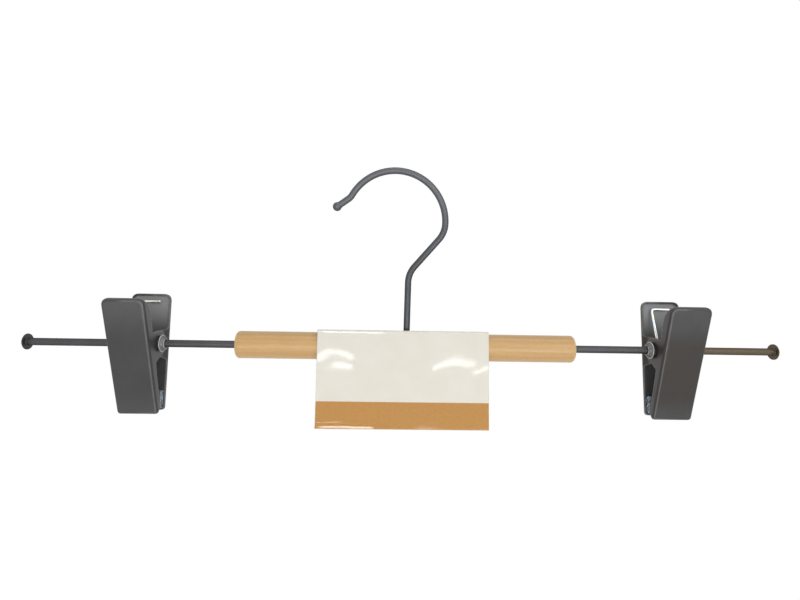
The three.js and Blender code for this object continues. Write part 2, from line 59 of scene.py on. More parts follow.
DOWEL_SEAT_RING = 4.0
ROD_RADIUS = 1.5
ROD_INSERT = 32.0
ROD_SEAT_GAP = 0.15
ROD_CHAMFER = 0.3
ROD_SHANK_START = 1.0
ROD_FILLET = 0.25
ROD_HEAD_RADIUS = 3.25
ROD_HEAD_RIM = 0.3
ROD_HEAD_EDGE = 0.12
ROD_HEAD_DOME = 1.5
ROD_REACH = 155.0

HOOK_RADIUS = 20.2
HOOK_WIRE_RADIUS = 1.3
HOOK_SIDE = 5.95
HOOK_CENTRE_HEIGHT = 50.7
HOOK_BEND_RADIUS = 10.1
HOOK_SHOULDER_LEAN = radians(40.2)
HOOK_ARC = radians(150.0)
HOOK_TIP_RADIUS = 5.0
HOOK_TIP_TURN = radians(24.2)
HOOK_TIP_STUB = 5.5
HOOK_BALL_RADIUS = 1.75
HOOK_BALL_BLEND = 0.18
HOOK_HEAD_RADIUS = 2.5
HOOK_HEAD_THICKNESS = 1.4
HOOK_HEAD_RECESS = 2.2
HOOK_HEAD_GAP = 0.3
HOOK_HEAD_EDGE = 0.25
HOOK_NECK = 0.3
HOOK_RUNNING_GAP = 0.1
HOOK_LEAN = radians(0.7)

CARD_WIDTH = 68.5
CARD_PANEL = 38.6
CARD_THICKNESS = 0.4
CARD_FRONT_FLARE = radians(10.4)
CARD_REAR_FLARE = radians(2.0)
CARD_SPINE_FALL = radians(9.0)
CARD_GAP = 0.3
CARD_SPINE_GAP = 0.65
CARD_CREASE_RADIUS = 0.6
CARD_HOLE_RADIUS = 3.4
CARD_SHIFT = -1.35
CARD_BAND = 10.6
CARD_BAND_BLUR = 0.06
CARD_CUT = 0.22
CARD_WAVE = 0.05
CARD_CURL = 0.36
CARD_CURL_REACH = 4.0
# Shares of the card's panel, and of half its width
CARD_WAVE_FADE = 0.3
CARD_CURL_END = 0.2
CARD_CURL_FADE = 0.6

CLIP_TOP_DEPTH = 25.2
CLIP_TIP_DEPTH = 7.4
JAW_LENGTH = 48.6
JAW_ABOVE = 21.0
JAW_BELOW = JAW_LENGTH - JAW_ABOVE
JAW_TOP_WIDTH = 16.5
JAW_TIP_WIDTH = 16.4
JAW_TOP_CORNER = 3.0
JAW_TIP_CORNER = 1.5
JAW_BEND = 1.2
JAW_INNER_BEND = 0.35
JAW_CROWN = 0.1
SHEET = 0.8
SHEET_EDGE = 0.3
TOP_LIP = 2.0
TIP_LIP = 1.6
FLANGE_SHOULDER = 4.0
FRONT_FLANGE = {"top": 4.9, "tip_setback": 0.65, "joggle": 0.0}
REAR_FLANGE = {"top": 2.0, "tip_setback": 2.1, "joggle": 1.1}
JOGGLE_START = 1.6
JOGGLE_RUN = 1.6
JOGGLE_FADE = 1.2
EAR_ABOVE = 6.0
EAR_BELOW = 6.4
EAR_HOLE = 3.0
EAR_RADIUS = 5.1
EAR_DROP = -0.05

SLEEVE_BORE = 1.7
SLEEVE_RADIUS = 2.1
SLEEVE_PROUD = 0.4
EYELET_BORE = 2.35
EYELET_RADIUS = 2.75
EYELET_RIM = 3.5
EYELET_RIM_THICKNESS = 1.75
EYELET_BRIM = 0.85
EYELET_SIDE_GAP = 0.3
EYELET_FLARE = (0.1, 0.3)
EYELET_DIP = 0.12
EYELET_LIP = 0.3
EYELET_LIP_RISE = 0.12
EYELET_LIP_DROP = 0.1

PAD_SEAT = 0.95
PAD_HEIGHT = 7.2
PAD_RIDGES = 4
PAD_RIDGE_DEPTH = 0.6
PAD_MEETING_GAP = 0.3
PAD_END_ROUND = 0.45

SPRING_WIRE_RADIUS = 0.55
SPRING_COIL_RADIUS = 3.7
SPRING_COIL_GAP = 0.6
SPRING_COIL_REACH = 3.05
SPRING_FACE_GAP = 0.3
SPRING_ARM_REACH = 3.9
SPRING_BAR_REACH = 4.0
SPRING_BAR_BEND = 1.4
SPRING_BAR_BELOW_TOP = 3.3
SPRING_TURNOVER = 3.0
SPRING_NIB = 0.3

JAW_LEAN = np.arcsin((CLIP_TOP_DEPTH - CLIP_TIP_DEPTH) / 2 / JAW_LENGTH)
FACE_OFFSET = (CLIP_TOP_DEPTH / 2 - JAW_ABOVE * sin(JAW_LEAN)) / cos(JAW_LEAN)
HEAD_SEAT = HOOK_HEAD_RECESS - DOWEL_RADIUS
STEM_HOLE = HOOK_WIRE_RADIUS + DOWEL_RADIUS * np.tan(HOOK_LEAN) + HOOK_RUNNING_GAP
HEAD_RECESS = HOOK_HEAD_RADIUS + HOOK_HEAD_GAP

joint_place = {joint["name"]: joint.get("pos_m") for joint in frame["joints"]}
BAR = np.array(joint_place["hook_swivel"])
PIVOTS = {side: np.array(joint_place[side + "_clip_swing"]) for side in ("left", "right")}
CLIP_SPREAD = (PIVOTS["right"][0] - PIVOTS["left"][0]) / 2.0 / MM


# Small sums used by several pieces
HALF_ROUND = [-1.0, -1.0, 1.0]


def lerp(start, end, share):
    """The value a share of the way from start to end."""
    return start + (end - start) * share


def eased_step(share):
    """Zero up to 0, one from 1, and 3 share squared less 2 share cubed between them."""
    share = np.clip(share, 0.0, 1.0)
    return share * share * (3.0 - 2.0 * share)


def shares(steps):
    """Even steps from nothing to one."""
    return linspace(0.0, 1.0, steps + 1)


def fall(angle):
    """One less the cosine of an angle."""
    return 1.0 - cos(angle)


def lack(angle):
    """One less the sine of an angle."""
    return 1.0 - sin(angle)


def swung(first, second, angle):
    """Two coordinates turned by an angle in their own plane."""
    return first * cos(angle) - second * sin(angle), first * sin(angle) + second * cos(angle)


def joined(*parts):
    """Arrays laid end to end."""
    return np.concatenate(parts)


def points(*columns):
    """Points from their columns, each spread to the same shape."""
    return np.stack(np.broadcast_arrays(*columns), -1)


def unit(vectors):
    """The same vectors, each of length one."""
    return vectors / np.linalg.norm(vectors, axis=-1, keepdims=True)


def stepped(start, end, cell):
    """Places from start to end, about a cell apart."""
    return linspace(start, end, 1 + round((end - start) / cell))


def bend_between(start, corner, end, steps):
    """A bend towards a corner: (1-t) squared start plus 2t(1-t) corner plus t squared end."""
    t = shares(steps)[:, None]
    return (1.0 - t) ** 2 * start + 2.0 * t * (1.0 - t) * corner + t ** 2 * end


def reach_along(path):
    """Length from the first point to each point of a path."""
    steps = np.linalg.norm(np.diff(path, axis=0), axis=1)
    return joined([0.0], np.cumsum(steps))


def share_along(path):
    """That length as a share of the whole."""
    reach = reach_along(path)
    return reach / reach[-1]


def respaced(path, count, carried=None):
    """A path, or what is carried along it, at count places spaced evenly by the path's length."""
    reach = reach_along(path)
    wanted = linspace(0.0, reach[-1], count)
    columns = (path if carried is None else carried).T
    return np.stack([np.interp(wanted, reach, column) for column in columns], -1)


def softened(path, passes):
    """Each inner point replaced by a quarter, a half and a quarter of its neighbours and itself."""
    path = path.copy()
    for _ in range(passes):
        path[1:-1] = (path[:-2] + 2.0 * path[1:-1] + path[2:]) / 4.0
    return path


def quarter(steps):
    """Angles from nothing to a quarter turn."""
    return linspace(0.0, pi / 2.0, steps + 1)


def whole_turn(sides):
    """Angles round a full turn, first and last the same place."""
    return linspace(0.0, 2.0 * pi, sides + 1)


def turned(profile, angles):
    """A profile of (along, radius) turned round X: (along, radius sin angle, radius cos angle)."""
    along, radius = np.asarray(profile).T
    return points(along[:, None], radius[:, None] * sin(angles), radius[:, None] * cos(angles))


def tube(line, tangent, side, radius, sides):
    """A circle carried along a line, in the plane of side and of tangent crossed with side."""
    turn = whole_turn(sides)[None, :, None]
    other = np.cross(tangent, side)
    ring = side[:, None] * cos(turn) + other[:, None] * sin(turn)
    return line[:, None] + radius[:, None, None] * ring


def spread(bottom, right, top, left):
    """A sheet between four edges: the two ruled sheets added, less the one through the corners."""
    across = share_along(bottom)[None, :, None]
    up = share_along(right)[:, None, None]
    ruled_up = lerp(bottom[None], top[None], up)
    ruled_across = lerp(left[:, None], right[:, None], across)
    corners = lerp(lerp(bottom[0], bottom[-1], across), lerp(top[0], top[-1], across), up)
    return ruled_up + ruled_across - corners, across[..., 0], up[..., 0]


# One piece of the model
JOIN_DISTANCE = 2e-6
SLIVER = 1e-7
SHARP_ANGLE = radians(38.0)


class Skin:
    """Grids of points gathered into one mesh, with a UV in millimetres and an edge mark: painted highlight
    and shade on bends and edges, and the card's paler cut edges.
    """

    def __init__(self, *first):
        self.points = []
        self.faces = []
        self.uvs = []
        self.edge_light_and_wear = []
        self.count = 0
        if first:
            self.add(*first)

    def add(self, grid, uv=0.0, edge_light_and_wear=0.0):
        """Every four neighbours of a grid make one face."""
        rows, columns = grid.shape[:2]
        index = self.count + np.arange(rows * columns).reshape(rows, columns)
        quads = np.stack([index[:-1, :-1], index[:-1, 1:], index[1:, 1:], index[1:, :-1]], -1)
        self.points.append(grid.reshape(-1, 3))
        self.faces.append(quads.reshape(-1, 4))
        self.uvs.append(np.broadcast_to(uv, (rows, columns, 2)).reshape(-1, 2))
        self.edge_light_and_wear.append(np.broadcast_to(edge_light_and_wear, (rows, columns)).ravel())
        self.count += rows * columns

    def piece(self, name, origin, finish, closed=True):
        """The grids joined where their edges meet, as an object placed at origin in metres."""
        places = np.concatenate(self.points) * MM + origin
        faces = np.concatenate(self.faces)
        mesh = bpy.data.meshes.new(name)
        mesh.from_pydata(places.tolist(), [], faces.tolist())
        corners = np.concatenate(self.uvs)[faces.ravel()]
        mesh.uv_layers.new(name="surface").data.foreach_set("uv", corners.ravel())
        edge_light_and_wear = mesh.attributes.new("edge_light_and_wear", "FLOAT", "POINT")
        edge_light_and_wear.data.foreach_set("value", np.concatenate(self.edge_light_and_wear))
        shell = bmesh.new()
        shell.from_mesh(mesh)
        bmesh.ops.remove_doubles(shell, verts=shell.verts, dist=JOIN_DISTANCE)
        bmesh.ops.dissolve_degenerate(shell, edges=shell.edges, dist=SLIVER)
        if closed:
            bmesh.ops.recalc_face_normals(shell, faces=shell.faces)
        shell.to_mesh(mesh)
        shell.free()
        mesh.shade_smooth()
        mesh.set_sharp_from_angle(angle=SHARP_ANGLE)
        mesh.materials.append(finish)
        made = bpy.data.objects.new(name, mesh)
        bpy.context.scene.collection.objects.link(made)
        return made


def settle(piece, body, node):
    """Put a piece on the body that carries it, if there is one, and hide the node it stands for."""
    if body:
        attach(piece, body)
    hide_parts(node)


# Shader sums
def both_ways(operation):
    """A Math node with the value first, and the same with it second."""
    def forward(self, other):
        return self.sum(operation, self, other)

    def reflected(self, other):
        return self.sum(operation, other, self)

    return forward, reflected


class Value:
    """A number that changes over a surface; sums on it add Math nodes."""

    def __init__(self, finish, socket):
        self.finish = finish
        self.socket = socket

    def sum(self, operation, first, second):
        return self.finish.node("ShaderNodeMath", {"operation": operation}, {0: first, 1: second})

    __add__, __radd__ = both_ways("ADD")
    __sub__, __rsub__ = both_ways("SUBTRACT")
    __mul__, __rmul__ = both_ways("MULTIPLY")
    __truediv__, __rtruediv__ = both_ways("DIVIDE")
    __pow__, __rpow__ = both_ways("POWER")

    def rises(self, low, high):
        """Nothing up to low, one from high, and smooth between; high may be the lesser."""
        return self.finish.node(
            "ShaderNodeMapRange",
            {"interpolation_type": "SMOOTHSTEP", "clamp": True},
            {"Value": self, "From Min": low, "From Max": high},
        )


class Finish:
    """One node tree; every node in it comes from the method node."""

    def __init__(self, tree):
        self.tree = tree

    def node(self, kind, settings=None, sockets=None, output=0):
        made = self.tree.nodes.new(kind)
        for name, value in (settings or {}).items():
            setattr(made, name, value)
        for name, value in (sockets or {}).items():
            self.feed(made.inputs[name], value)
        return None if output is None else Value(self, made.outputs[output])

    def feed(self, socket, value):
        if isinstance(value, Value):
            self.tree.links.new(value.socket, socket)
        else:
            socket.default_value = value

    def place(self, scale=(1.0, 1.0, 1.0), shift=(0.0, 0.0, 0.0)):
        """The place on the piece in millimetres, scaled, then shifted."""
        spot = self.node("ShaderNodeTexCoord", output="Object")
        size = [value / MM for value in scale]
        return self.node("ShaderNodeMapping", None, {"Vector": spot, "Location": shift, "Scale": size})

    def surface(self, scale=(1.0, 1.0, 1.0)):
        """The piece's own UV in millimetres along and around it, scaled."""
        spot = self.node("ShaderNodeUVMap", {"uv_map": "surface"})
        return self.node("ShaderNodeMapping", None, {"Vector": spot, "Scale": scale})

    def part_of(self, vector, axis):
        """One number of a vector."""
        return self.node("ShaderNodeSeparateXYZ", None, {"Vector": vector}, axis)

    def edge_light_and_wear(self):
        """The edge mark, high on bends and edges and below nothing in a bend's fold; it carries painted
        highlight and shade, and the card's paler cut edges.
        """
        return self.node("ShaderNodeAttribute", {"attribute_name": "edge_light_and_wear"}, None, "Fac")

    def noise(self, vector, scale, detail=3.0, roughness=0.55, distortion=0.0):
        names = ("Vector", "Scale", "Detail", "Roughness", "Distortion")
        sockets = dict(zip(names, (vector, scale, detail, roughness, distortion)))
        return self.node("ShaderNodeTexNoise", None, sockets, "Fac")

    def cells(self, vector):
        """Distance to the nearest of many scattered points."""
        return self.node("ShaderNodeTexVoronoi", None, {"Vector": vector, "Scale": 1.0}, "Distance")

    def mix(self, share, first, second):
        """A colour a share of the way from the first to the second."""
        return self.node("ShaderNodeMix", {"data_type": "RGBA"}, {0: share, 6: first, 7: second}, 2)

    def coats(self, base, *coats):
        """A colour with others laid over it in turn, each given as its share and its screen levels."""
        if not isinstance(base, Value):
            base = colour(*base)
        for share, *levels in coats:
            base = self.mix(share, base, colour(*levels))
        return base

    def bump(self, height, depth, strength):
        """A normal from a height that runs from nothing to one and is depth millimetres tall."""
        sockets = {"Height": height, "Distance": depth * MM, "Strength": strength}
        return self.node("ShaderNodeBump", None, sockets, "Normal")

    def dress(self, base, roughness, relief, others=()):
        """Feed the shader's varying sockets, relief as height, depth and strength; give the material."""
        sockets = {"Base Color": base, "Roughness": roughness, "Normal": self.bump(*relief), **dict(others)}
        for name, value in sockets.items():
            self.feed(self.shader[name], value)
        return self.material


ROD_EDGE_TINT = (0.06, 0.06, 0.06, 1.0)
RIDGE_BAND = 600.0


def colour(*levels):
    """Red, green and blue screen levels from 0 to 255 as linear light."""
    level = np.array(levels) / 255.0
    linear = np.where(level <= 0.04045, level / 12.92, ((level + 0.055) / 1.055) ** 2.4)
    return (*linear.tolist(), 1.0)


def finish_named(name, constants):
    """The node maker of a new material that has its constant sockets set."""
    material = bpy.data.materials.new(name)
    material.use_nodes = True
    finish = Finish(material.node_tree)
    finish.material = material
    finish.shader = material.node_tree.nodes["Principled BSDF"].inputs
    for socket, value in constants.items():
        finish.shader[socket].default_value = value
    return finish


def black_paint():
    """Matte dark paint: fine orange peel and soft cloudy patches, with painted light and shade: lighter tops
    and tips, a warm reflection across the right clip, sheen inside the trays, a highlight along bends and cut
    edges on the sides that face the middle, dark edges on the far sides, and shade in the fold of a bend."""
    f = finish_named("matte_dark_paint", {"Specular IOR Level": 0.6})
    spot = f.place()
    cloud = f.noise(spot, 0.11, 3.0)
    grit = f.noise(spot, 3.2, 2.0)
    peel = f.noise(spot, 1.15, 2.0, 0.5)
    drift = f.noise(spot, 0.22, 2.0)
    x = f.part_of(spot, "X")
    across = x - BAR[0] / MM
    inner = (across * across).rises(CLIP_SPREAD ** 2 + RIDGE_BAND, CLIP_SPREAD ** 2 - RIDGE_BAND)
    # Painted light from the edge mark: a highlight on bends and cut edges, shade in the fold of a bend.
    edge_light_and_shade = f.edge_light_and_wear().rises(0.0, 1.0)
    fold_shade = f.edge_light_and_wear().rises(0.0, -1.0)
    inside = f.part_of(f.surface(), "X")
    height = f.part_of(f.surface(), "Y")
    right = x.rises(0.0, 100.0)
    # Painted light: lighter towards the top and the tip of each jaw, less so on the right clip.
    top_and_tip_light = (height.rises(4.0, 20.0) * 0.5 + height.rises(-16.0, -27.0) * 0.25) * (1.0 - 0.6 * right)
    belly = height.rises(16.0, 4.0) * height.rises(-27.0, -15.0)
    base = f.coats(
        (46, 46, 46),
        (cloud.rises(0.32, 0.68), 53, 52, 52),
        # Painted warm reflection across the middle of the right clip.
        (right * belly * (0.6 + 0.4 * cloud), 30, 17, 2),
        (top_and_tip_light * (0.7 + 0.6 * drift), 92, 92, 92),
        (grit.rises(0.56, 0.80) * 0.3, 84, 82, 81),
        # Painted sheen inside the trays, brighter high up.
        (inside * (0.6 + 0.4 * cloud), 92, 92, 94),
        (inside * height.rises(2.0, 18.0) * 0.85, 162, 162, 164),
        # Painted highlight on bends and edges on the sides that face the middle, painted dark edges on the
        # far sides, painted shade in each fold.
        (edge_light_and_shade * inner * (0.3 + 0.5 * drift), 132, 130, 127),
        (edge_light_and_shade * (1.0 - inner) * 0.8, 12, 12, 12),
        (fold_shade * 0.8, 22, 21, 21))
    return f.dress(base, 0.34 + 0.12 * cloud + 0.05 * grit, (peel + 0.35 * grit, 0.022, 0.5))


def rod_paint(along_surface):
    """Satin dark grey coating over drawn wire: faint lines along it, dull patches, a few bright rubs, a
    painted highlight on the top of the hook and a painted warm reflection on the right rod's outer end."""
    name = "satin_grey_wire" if along_surface else "satin_grey_rod"
    f = finish_named(name, {"Specular IOR Level": 0.3, "Specular Tint": ROD_EDGE_TINT})
    spot = f.place()
    if along_surface:
        lines = f.noise(f.surface((0.05, 1.6, 1.0)), 1.6, 4.0)
        dark, light = (74, 77, 80), (92, 96, 99)
    else:
        lines = f.noise(f.place((0.03, 1.5, 1.5)), 1.6, 4.0)
        dark, light = (77, 77, 79), (96, 96, 99)
    patches = f.noise(spot, 0.16, 3.0)
    grit = f.noise(spot, 2.6, 3.0, 0.65)
    rub = f.noise(f.place((0.35, 1.0, 1.0)), 0.8, 5.0, 0.75).rises(0.62, 0.76)
    base = f.coats(
        dark,
        (lines, *light),
        (patches.rises(0.35, 0.7) * 0.5, 79, 79, 79),
        (grit.rises(0.5, 0.8) * 0.4, 61, 61, 62))
    if along_surface:
        # Painted highlight: the hook grows paler towards its top.
        base = f.coats(base, (f.part_of(spot, "Z").rises(-42.0, -4.0) * 0.5, 118, 118, 123))
    base = f.coats(
        base,
        # Painted warm reflection towards the right rod's outer end.
        (f.part_of(spot, "X").rises(116.0, 128.0) * 0.7, 110, 95, 76),
        (rub * 0.3, 132, 134, 136))
    others = {"Metallic": 0.8 + 0.15 * rub}
    return f.dress(base, 0.34 + 0.16 * lines + 0.08 * grit, (lines + 0.3 * grit, 0.02, 0.5), others)


def beech():
    """Sanded beech: growth rings about a pith off to one side, fibre along it, short dark flecks."""
    f = finish_named("sanded_beech", {"Specular IOR Level": 0.5, "Coat Roughness": 0.3})
    drift = f.noise(f.place((0.012, 0.10, 0.10)), 1.0, 2.0)
    across = f.place((0.0, 1.0, 1.0), (0.0, -13.0, 21.0))
    span = f.node("ShaderNodeVectorMath", {"operation": "LENGTH"}, {0: across}, "Value")
    rings = f.node("ShaderNodeMath", {"operation": "SINE"}, {0: (span + 5.0 * drift) * 3.1})
    rings = (0.5 + 0.5 * rings) ** 1.6
    fibre = f.noise(f.place((0.07, 1.1, 1.1)), 1.9, 5.0, 0.65)
    threads = f.noise(f.place((0.35, 2.6, 2.6)), 2.0, 3.0, 0.6)
    pores = f.cells(f.place((0.7, 2.6, 2.6))).rises(0.26, 0.10)
    flecks = f.cells(f.place((0.3, 1.1, 1.1), (3.0, 1.7, 0.4))).rises(0.17, 0.07)
    base = f.coats(
        (218, 176, 117),
        (rings * 0.55, 206, 161, 101),
        (fibre.rises(0.35, 0.72) * 0.32, 194, 148, 91),
        (threads.rises(0.52, 0.78) * 0.42, 236, 202, 148),
        (pores * 0.34, 170, 122, 70),
        (flecks * 0.3, 178, 130, 76),
        # Lighter where the edge mark is high: a painted highlight along the rounded ends, and a pale ring
        # round the stem hole.
        (f.edge_light_and_wear() * 0.5, 236, 206, 160))
    relief = fibre * 0.35 + threads * 0.5 - pores * 0.6
    others = {"Coat Weight": 0.2 - 0.12 * pores}
    return f.dress(base, 0.28 + 0.14 * fibre + 0.1 * pores, (relief, 0.05, 0.45), others)


def coated_card():
    """Gloss-coated board in two tones, pale above and tan along both hems, with faint fibre and scuffs."""
    f = finish_named("coated_card", {"Coat Roughness": 0.045, "Specular IOR Level": 0.12})
    spot = f.surface()
    hem = f.part_of(spot, "Y")
    band = hem.rises(CARD_BAND + CARD_BAND_BLUR, CARD_BAND - CARD_BAND_BLUR)
    fibre = f.noise(spot, 0.9, 4.0, 0.65)
    mottle = f.noise(spot, 0.09, 2.0)
    scuff = f.noise(f.surface((1.0, 0.25, 1.0)), 0.35, 5.0, 0.8).rises(0.62, 0.78)
    fold = hem.rises(CARD_PANEL - 3.0, CARD_PANEL)
    pale = f.coats(
        (238, 233, 220),
        (mottle.rises(0.3, 0.7), 241, 237, 225),
        (fibre.rises(0.5, 0.8) * 0.3, 227, 221, 207))
    tan = f.coats((200, 145, 70), (fibre.rises(0.35, 0.75), 192, 137, 63))
    base = f.coats(
        f.mix(band, pale, tan),
        (scuff * fold * 0.5, 240, 238, 232),
        (f.edge_light_and_wear() * 0.6, 236, 232, 222))
    return f.dress(base, 0.36 + 0.10 * fibre, (fibre * 0.3, 0.03, 0.3), {"Coat Weight": 0.9 - 0.4 * scuff})


def zinc_wire():
    """Bright zinc on drawn wire, with lines along it and cool and warm patches of its passive film."""
    f = finish_named("bright_zinc", {"Metallic": 1.0})
    lines = f.noise(f.surface((0.08, 3.0, 1.0)), 1.8, 4.0)
    film = f.noise(f.place(), 0.33, 2.0)
    stain = f.noise(f.place(), 1.2, 4.0, 0.7).rises(0.58, 0.78)
    base = f.coats(
        (226, 241, 246),
        (film.rises(0.36, 0.64), 250, 244, 220),
        (lines.rises(0.45, 0.8) * 0.25, 206, 209, 212),
        (stain * 0.3, 170, 172, 174))
    return f.dress(base, 0.16 + 0.16 * lines + 0.12 * stain, (lines, 0.012, 0.6))


def rivet_steel():
    """Rolled steel: marks that run round it, dark grime, and a painted highlight on the rolled edge."""
    f = finish_named("rolled_steel", {})
    marks = f.noise(f.surface((6.0, 0.15, 1.0)), 1.5, 4.0)
    grime = f.noise(f.place(), 0.9, 4.0, 0.7)
    rim_highlight = f.edge_light_and_wear()
    base = f.coats(
        (92, 92, 94),
        (marks, 126, 126, 127),
        (grime.rises(0.45, 0.75) * 0.5, 70, 69, 68),
        # Painted highlight on the rolled edge.
        (rim_highlight * 0.8, 206, 206, 205))
    others = {"Metallic": 0.75 + 0.2 * rim_highlight}
    return f.dress(base, 0.42 + 0.16 * grime - 0.14 * rim_highlight, (marks, 0.015, 0.5), others)


def pale_nylon():
    """Plain moulded nylon: faintly mottled, a fine matte grain, a little grey grime."""
    f = finish_named("pale_nylon", {"Specular IOR Level": 0.45})
    mottle = f.noise(f.place(), 0.5, 2.0)
    grain = f.noise(f.place(), 5.0, 2.0)
    grime = f.noise(f.place(), 1.6, 4.0, 0.7).rises(0.52, 0.75)
    base = f.coats((160, 160, 156), (mottle, 174, 173, 168), (grime * 0.4, 140, 138, 133))
    return f.dress(base, 0.42 + 0.12 * grain, (grain, 0.015, 0.4))


def clear_vinyl():
    """Clear soft vinyl: a cool tint, cloudy flow marks and a few fine scratches."""
    constants = {"Transmission Weight": 0.74, "IOR": 1.5, "Specular IOR Level": 0.65}
    f = finish_named("clear_vinyl", constants)
    flow = f.noise(f.place((1.0, 0.5, 0.3)), 0.45, 3.0, 0.6, 0.8)
    haze = f.noise(f.place(), 2.4, 3.0)
    scratch = f.noise(f.place((4.0, 0.3, 0.3)), 1.2, 4.0, 0.75).rises(0.62, 0.74)
    base = f.coats((210, 226, 240), (flow, 228, 237, 244), (scratch * 0.4, 240, 244, 246))
    return f.dress(base, 0.07 + 0.10 * haze + 0.2 * scratch, (flow + 0.2 * haze, 0.035, 0.5))


# Wooden bar
ROUND_STEPS = 8
DOWEL_BLOCK = 4.2
DOWEL_BLOCK_CELLS = 16
DOWEL_LONG_CELLS = 60
DOWEL_SIDE_CELLS = 12
HOLE_RIM_POWER = 6
ANGLE_SLACK = 1e-9
BLOCK_LINE = linspace(-DOWEL_BLOCK, DOWEL_BLOCK, DOWEL_BLOCK_CELLS + 1)


def square_to_circle(radius, round_place):
    """From the edge of a square cell block to a circle, ring by ring, as (along, around) pairs.

    Each point slides straight from the square's edge to the circle's point at the same bearing.
    """
    full = np.full_like(BLOCK_LINE, DOWEL_BLOCK)
    square = joined(
        points(full, BLOCK_LINE)[:-1],
        points(-BLOCK_LINE, full)[:-1],
        points(-full, -BLOCK_LINE)[:-1],
        points(BLOCK_LINE, -full))
    bearing = np.arctan2(square[:, 1], square[:, 0])
    circle = round_place(radius * cos(bearing), radius * sin(bearing))
    share = shares(ROUND_STEPS)[:, None, None]
    return lerp(square, circle, share), bearing


def wooden_bar():
    """A cylinder (x, R sin angle, R cos angle) with a stem hole above, a head recess below and
    rounded ends that turn in to the rod seats."""
    radius = DOWEL_RADIUS
    half = DOWEL_LENGTH / 2.0
    shoulder = half - DOWEL_EDGE
    block = DOWEL_BLOCK / radius
    long_part = linspace(DOWEL_BLOCK, shoulder, DOWEL_LONG_CELLS + 1)
    side = linspace(block, pi - block, DOWEL_SIDE_CELLS + 1)
    over = linspace(-block, block, DOWEL_BLOCK_CELLS + 1)
    under = over - pi
    back_top = side[side <= pi / 2.0 + ANGLE_SLACK]
    back_low = side[side >= pi / 2.0 - ANGLE_SLACK]
    bands = [back_low - 2.0 * pi, under, side - pi, over, back_top]

    def on_bar(along, angle):
        return points(along, radius * sin(angle), radius * cos(angle))

    def unrolled(along, across):
        return points(along, radius * np.arcsin(across / radius))

    skin = Skin()
    for band in bands:
        for span in (-long_part[::-1], BLOCK_LINE, long_part):
            pierced = span is BLOCK_LINE and (band is under or band is over)
            if not pierced:
                skin.add(on_bar(span[:, None], band))

    top, bearing = square_to_circle(STEM_HOLE, unrolled)
    below, _ = square_to_circle(HEAD_RECESS, unrolled)
    rim = shares(ROUND_STEPS)[:, None] ** HOLE_RIM_POWER
    skin.add(on_bar(top[..., 0], top[..., 1] / radius), edge_light_and_wear=rim)
    skin.add(on_bar(below[..., 0], below[..., 1] / radius - pi))
    tunnel = np.array([STEM_HOLE, STEM_HOLE, HEAD_RECESS, HEAD_RECESS])[:, None]
    tunnel_y = tunnel * sin(bearing)
    tunnel_z = np.full_like(tunnel_y, HEAD_SEAT)
    tunnel_z[0] = np.sqrt(radius ** 2 - tunnel_y[0] ** 2)
    tunnel_z[-1] = -np.sqrt(radius ** 2 - tunnel_y[-1] ** 2)
    skin.add(points(tunnel * cos(bearing), tunnel_y, tunnel_z))

    angles = joined(*[band[:-1] for band in bands], bands[-1][-1:])
    turn = quarter(ROUND_STEPS)
    edge = points(shoulder + DOWEL_EDGE * sin(turn), radius - DOWEL_EDGE * fall(turn))
    seat = ROD_RADIUS + ROD_SEAT_GAP
    seat_end = half - ROD_INSERT - ROD_SEAT_GAP
    inside = np.array([
        *[[half, ring] for ring in DOWEL_END_RINGS],
        [half, seat + DOWEL_SEAT_CHAMFER],
        [half - DOWEL_SEAT_CHAMFER, seat],
        [half - DOWEL_SEAT_RING, seat],
        [seat_end, seat],
        [seat_end, 0.0]])
    profile = joined(edge, inside)
    # A painted highlight band round each rounded end, strongest halfway round it.
    end_highlight = joined(sin(2.0 * turn), np.zeros(len(inside)))[:, None]
    for way in (1.0, -1.0):
        skin.add(turned(profile * [way, 1.0], angles), edge_light_and_wear=end_highlight)
    return skin


# Rods and the fittings turned about them
ROD_SIDES = 40
ROD_LONG_CELLS = 90
EYELET_SIDES = 56
EYELET_STEPS = 8
EYELET_LIP_STEPS = 6
EYELET_SHINE_ANGLE = 0.7
SLEEVE_END_STEPS = 10


def headed_rod(side):
    """A turned rod: hidden chamfered end, straight shank, a fillet under a thin head.

    The head's outside is a dome that falls with the square of the radius.
    """
    turn = quarter(ROUND_STEPS)
    inner = DOWEL_LENGTH / 2.0 - ROD_INSERT
    face = ROD_REACH - ROD_HEAD_DOME - ROD_HEAD_RIM
    tip = np.array([[inner, 0.0], [inner, ROD_RADIUS - ROD_CHAMFER], [inner + ROD_CHAMFER, ROD_RADIUS]])
    shank = linspace(inner + ROD_SHANK_START, face - ROD_FILLET, ROD_LONG_CELLS)
    fillet = points(face - ROD_FILLET * lack(turn), ROD_RADIUS + ROD_FILLET * fall(turn))
    under = points(face + ROD_HEAD_EDGE * fall(turn), ROD_HEAD_RADIUS - ROD_HEAD_EDGE * lack(turn))
    share = linspace(1.0, 0.0, 2 * ROUND_STEPS + 1)
    dome = points(ROD_REACH - ROD_HEAD_DOME * share ** 2, ROD_HEAD_RADIUS * share)
    profile = joined(tip, points(shank, ROD_RADIUS), fillet[1:], under, dome)
    way = 1.0 if side == "right" else -1.0
    return Skin(turned(profile * [way, 1.0], whole_turn(ROD_SIDES)))


def jaw_half_width(height):
    """Half a jaw's width at a height: a straight taper from tip to top."""
    return lerp(JAW_TIP_WIDTH, JAW_TOP_WIDTH, (height + JAW_BELOW) / JAW_LENGTH) / 2.0


EYELET_GRIP = jaw_half_width(EAR_RADIUS) + EYELET_SIDE_GAP
EYELET_HALF = EYELET_GRIP + EYELET_RIM_THICKNESS


def ringed(half_profile, sides):
    """A half profile of (along, radius), outside first and bore last, mirrored and turned round X."""
    loop = joined(half_profile, half_profile[::-1] * [-1.0, 1.0], half_profile[:1])
    around = whole_turn(sides) * loop[:, 1:]
    return turned(loop, whole_turn(sides)), points(reach_along(loop)[:, None], around)


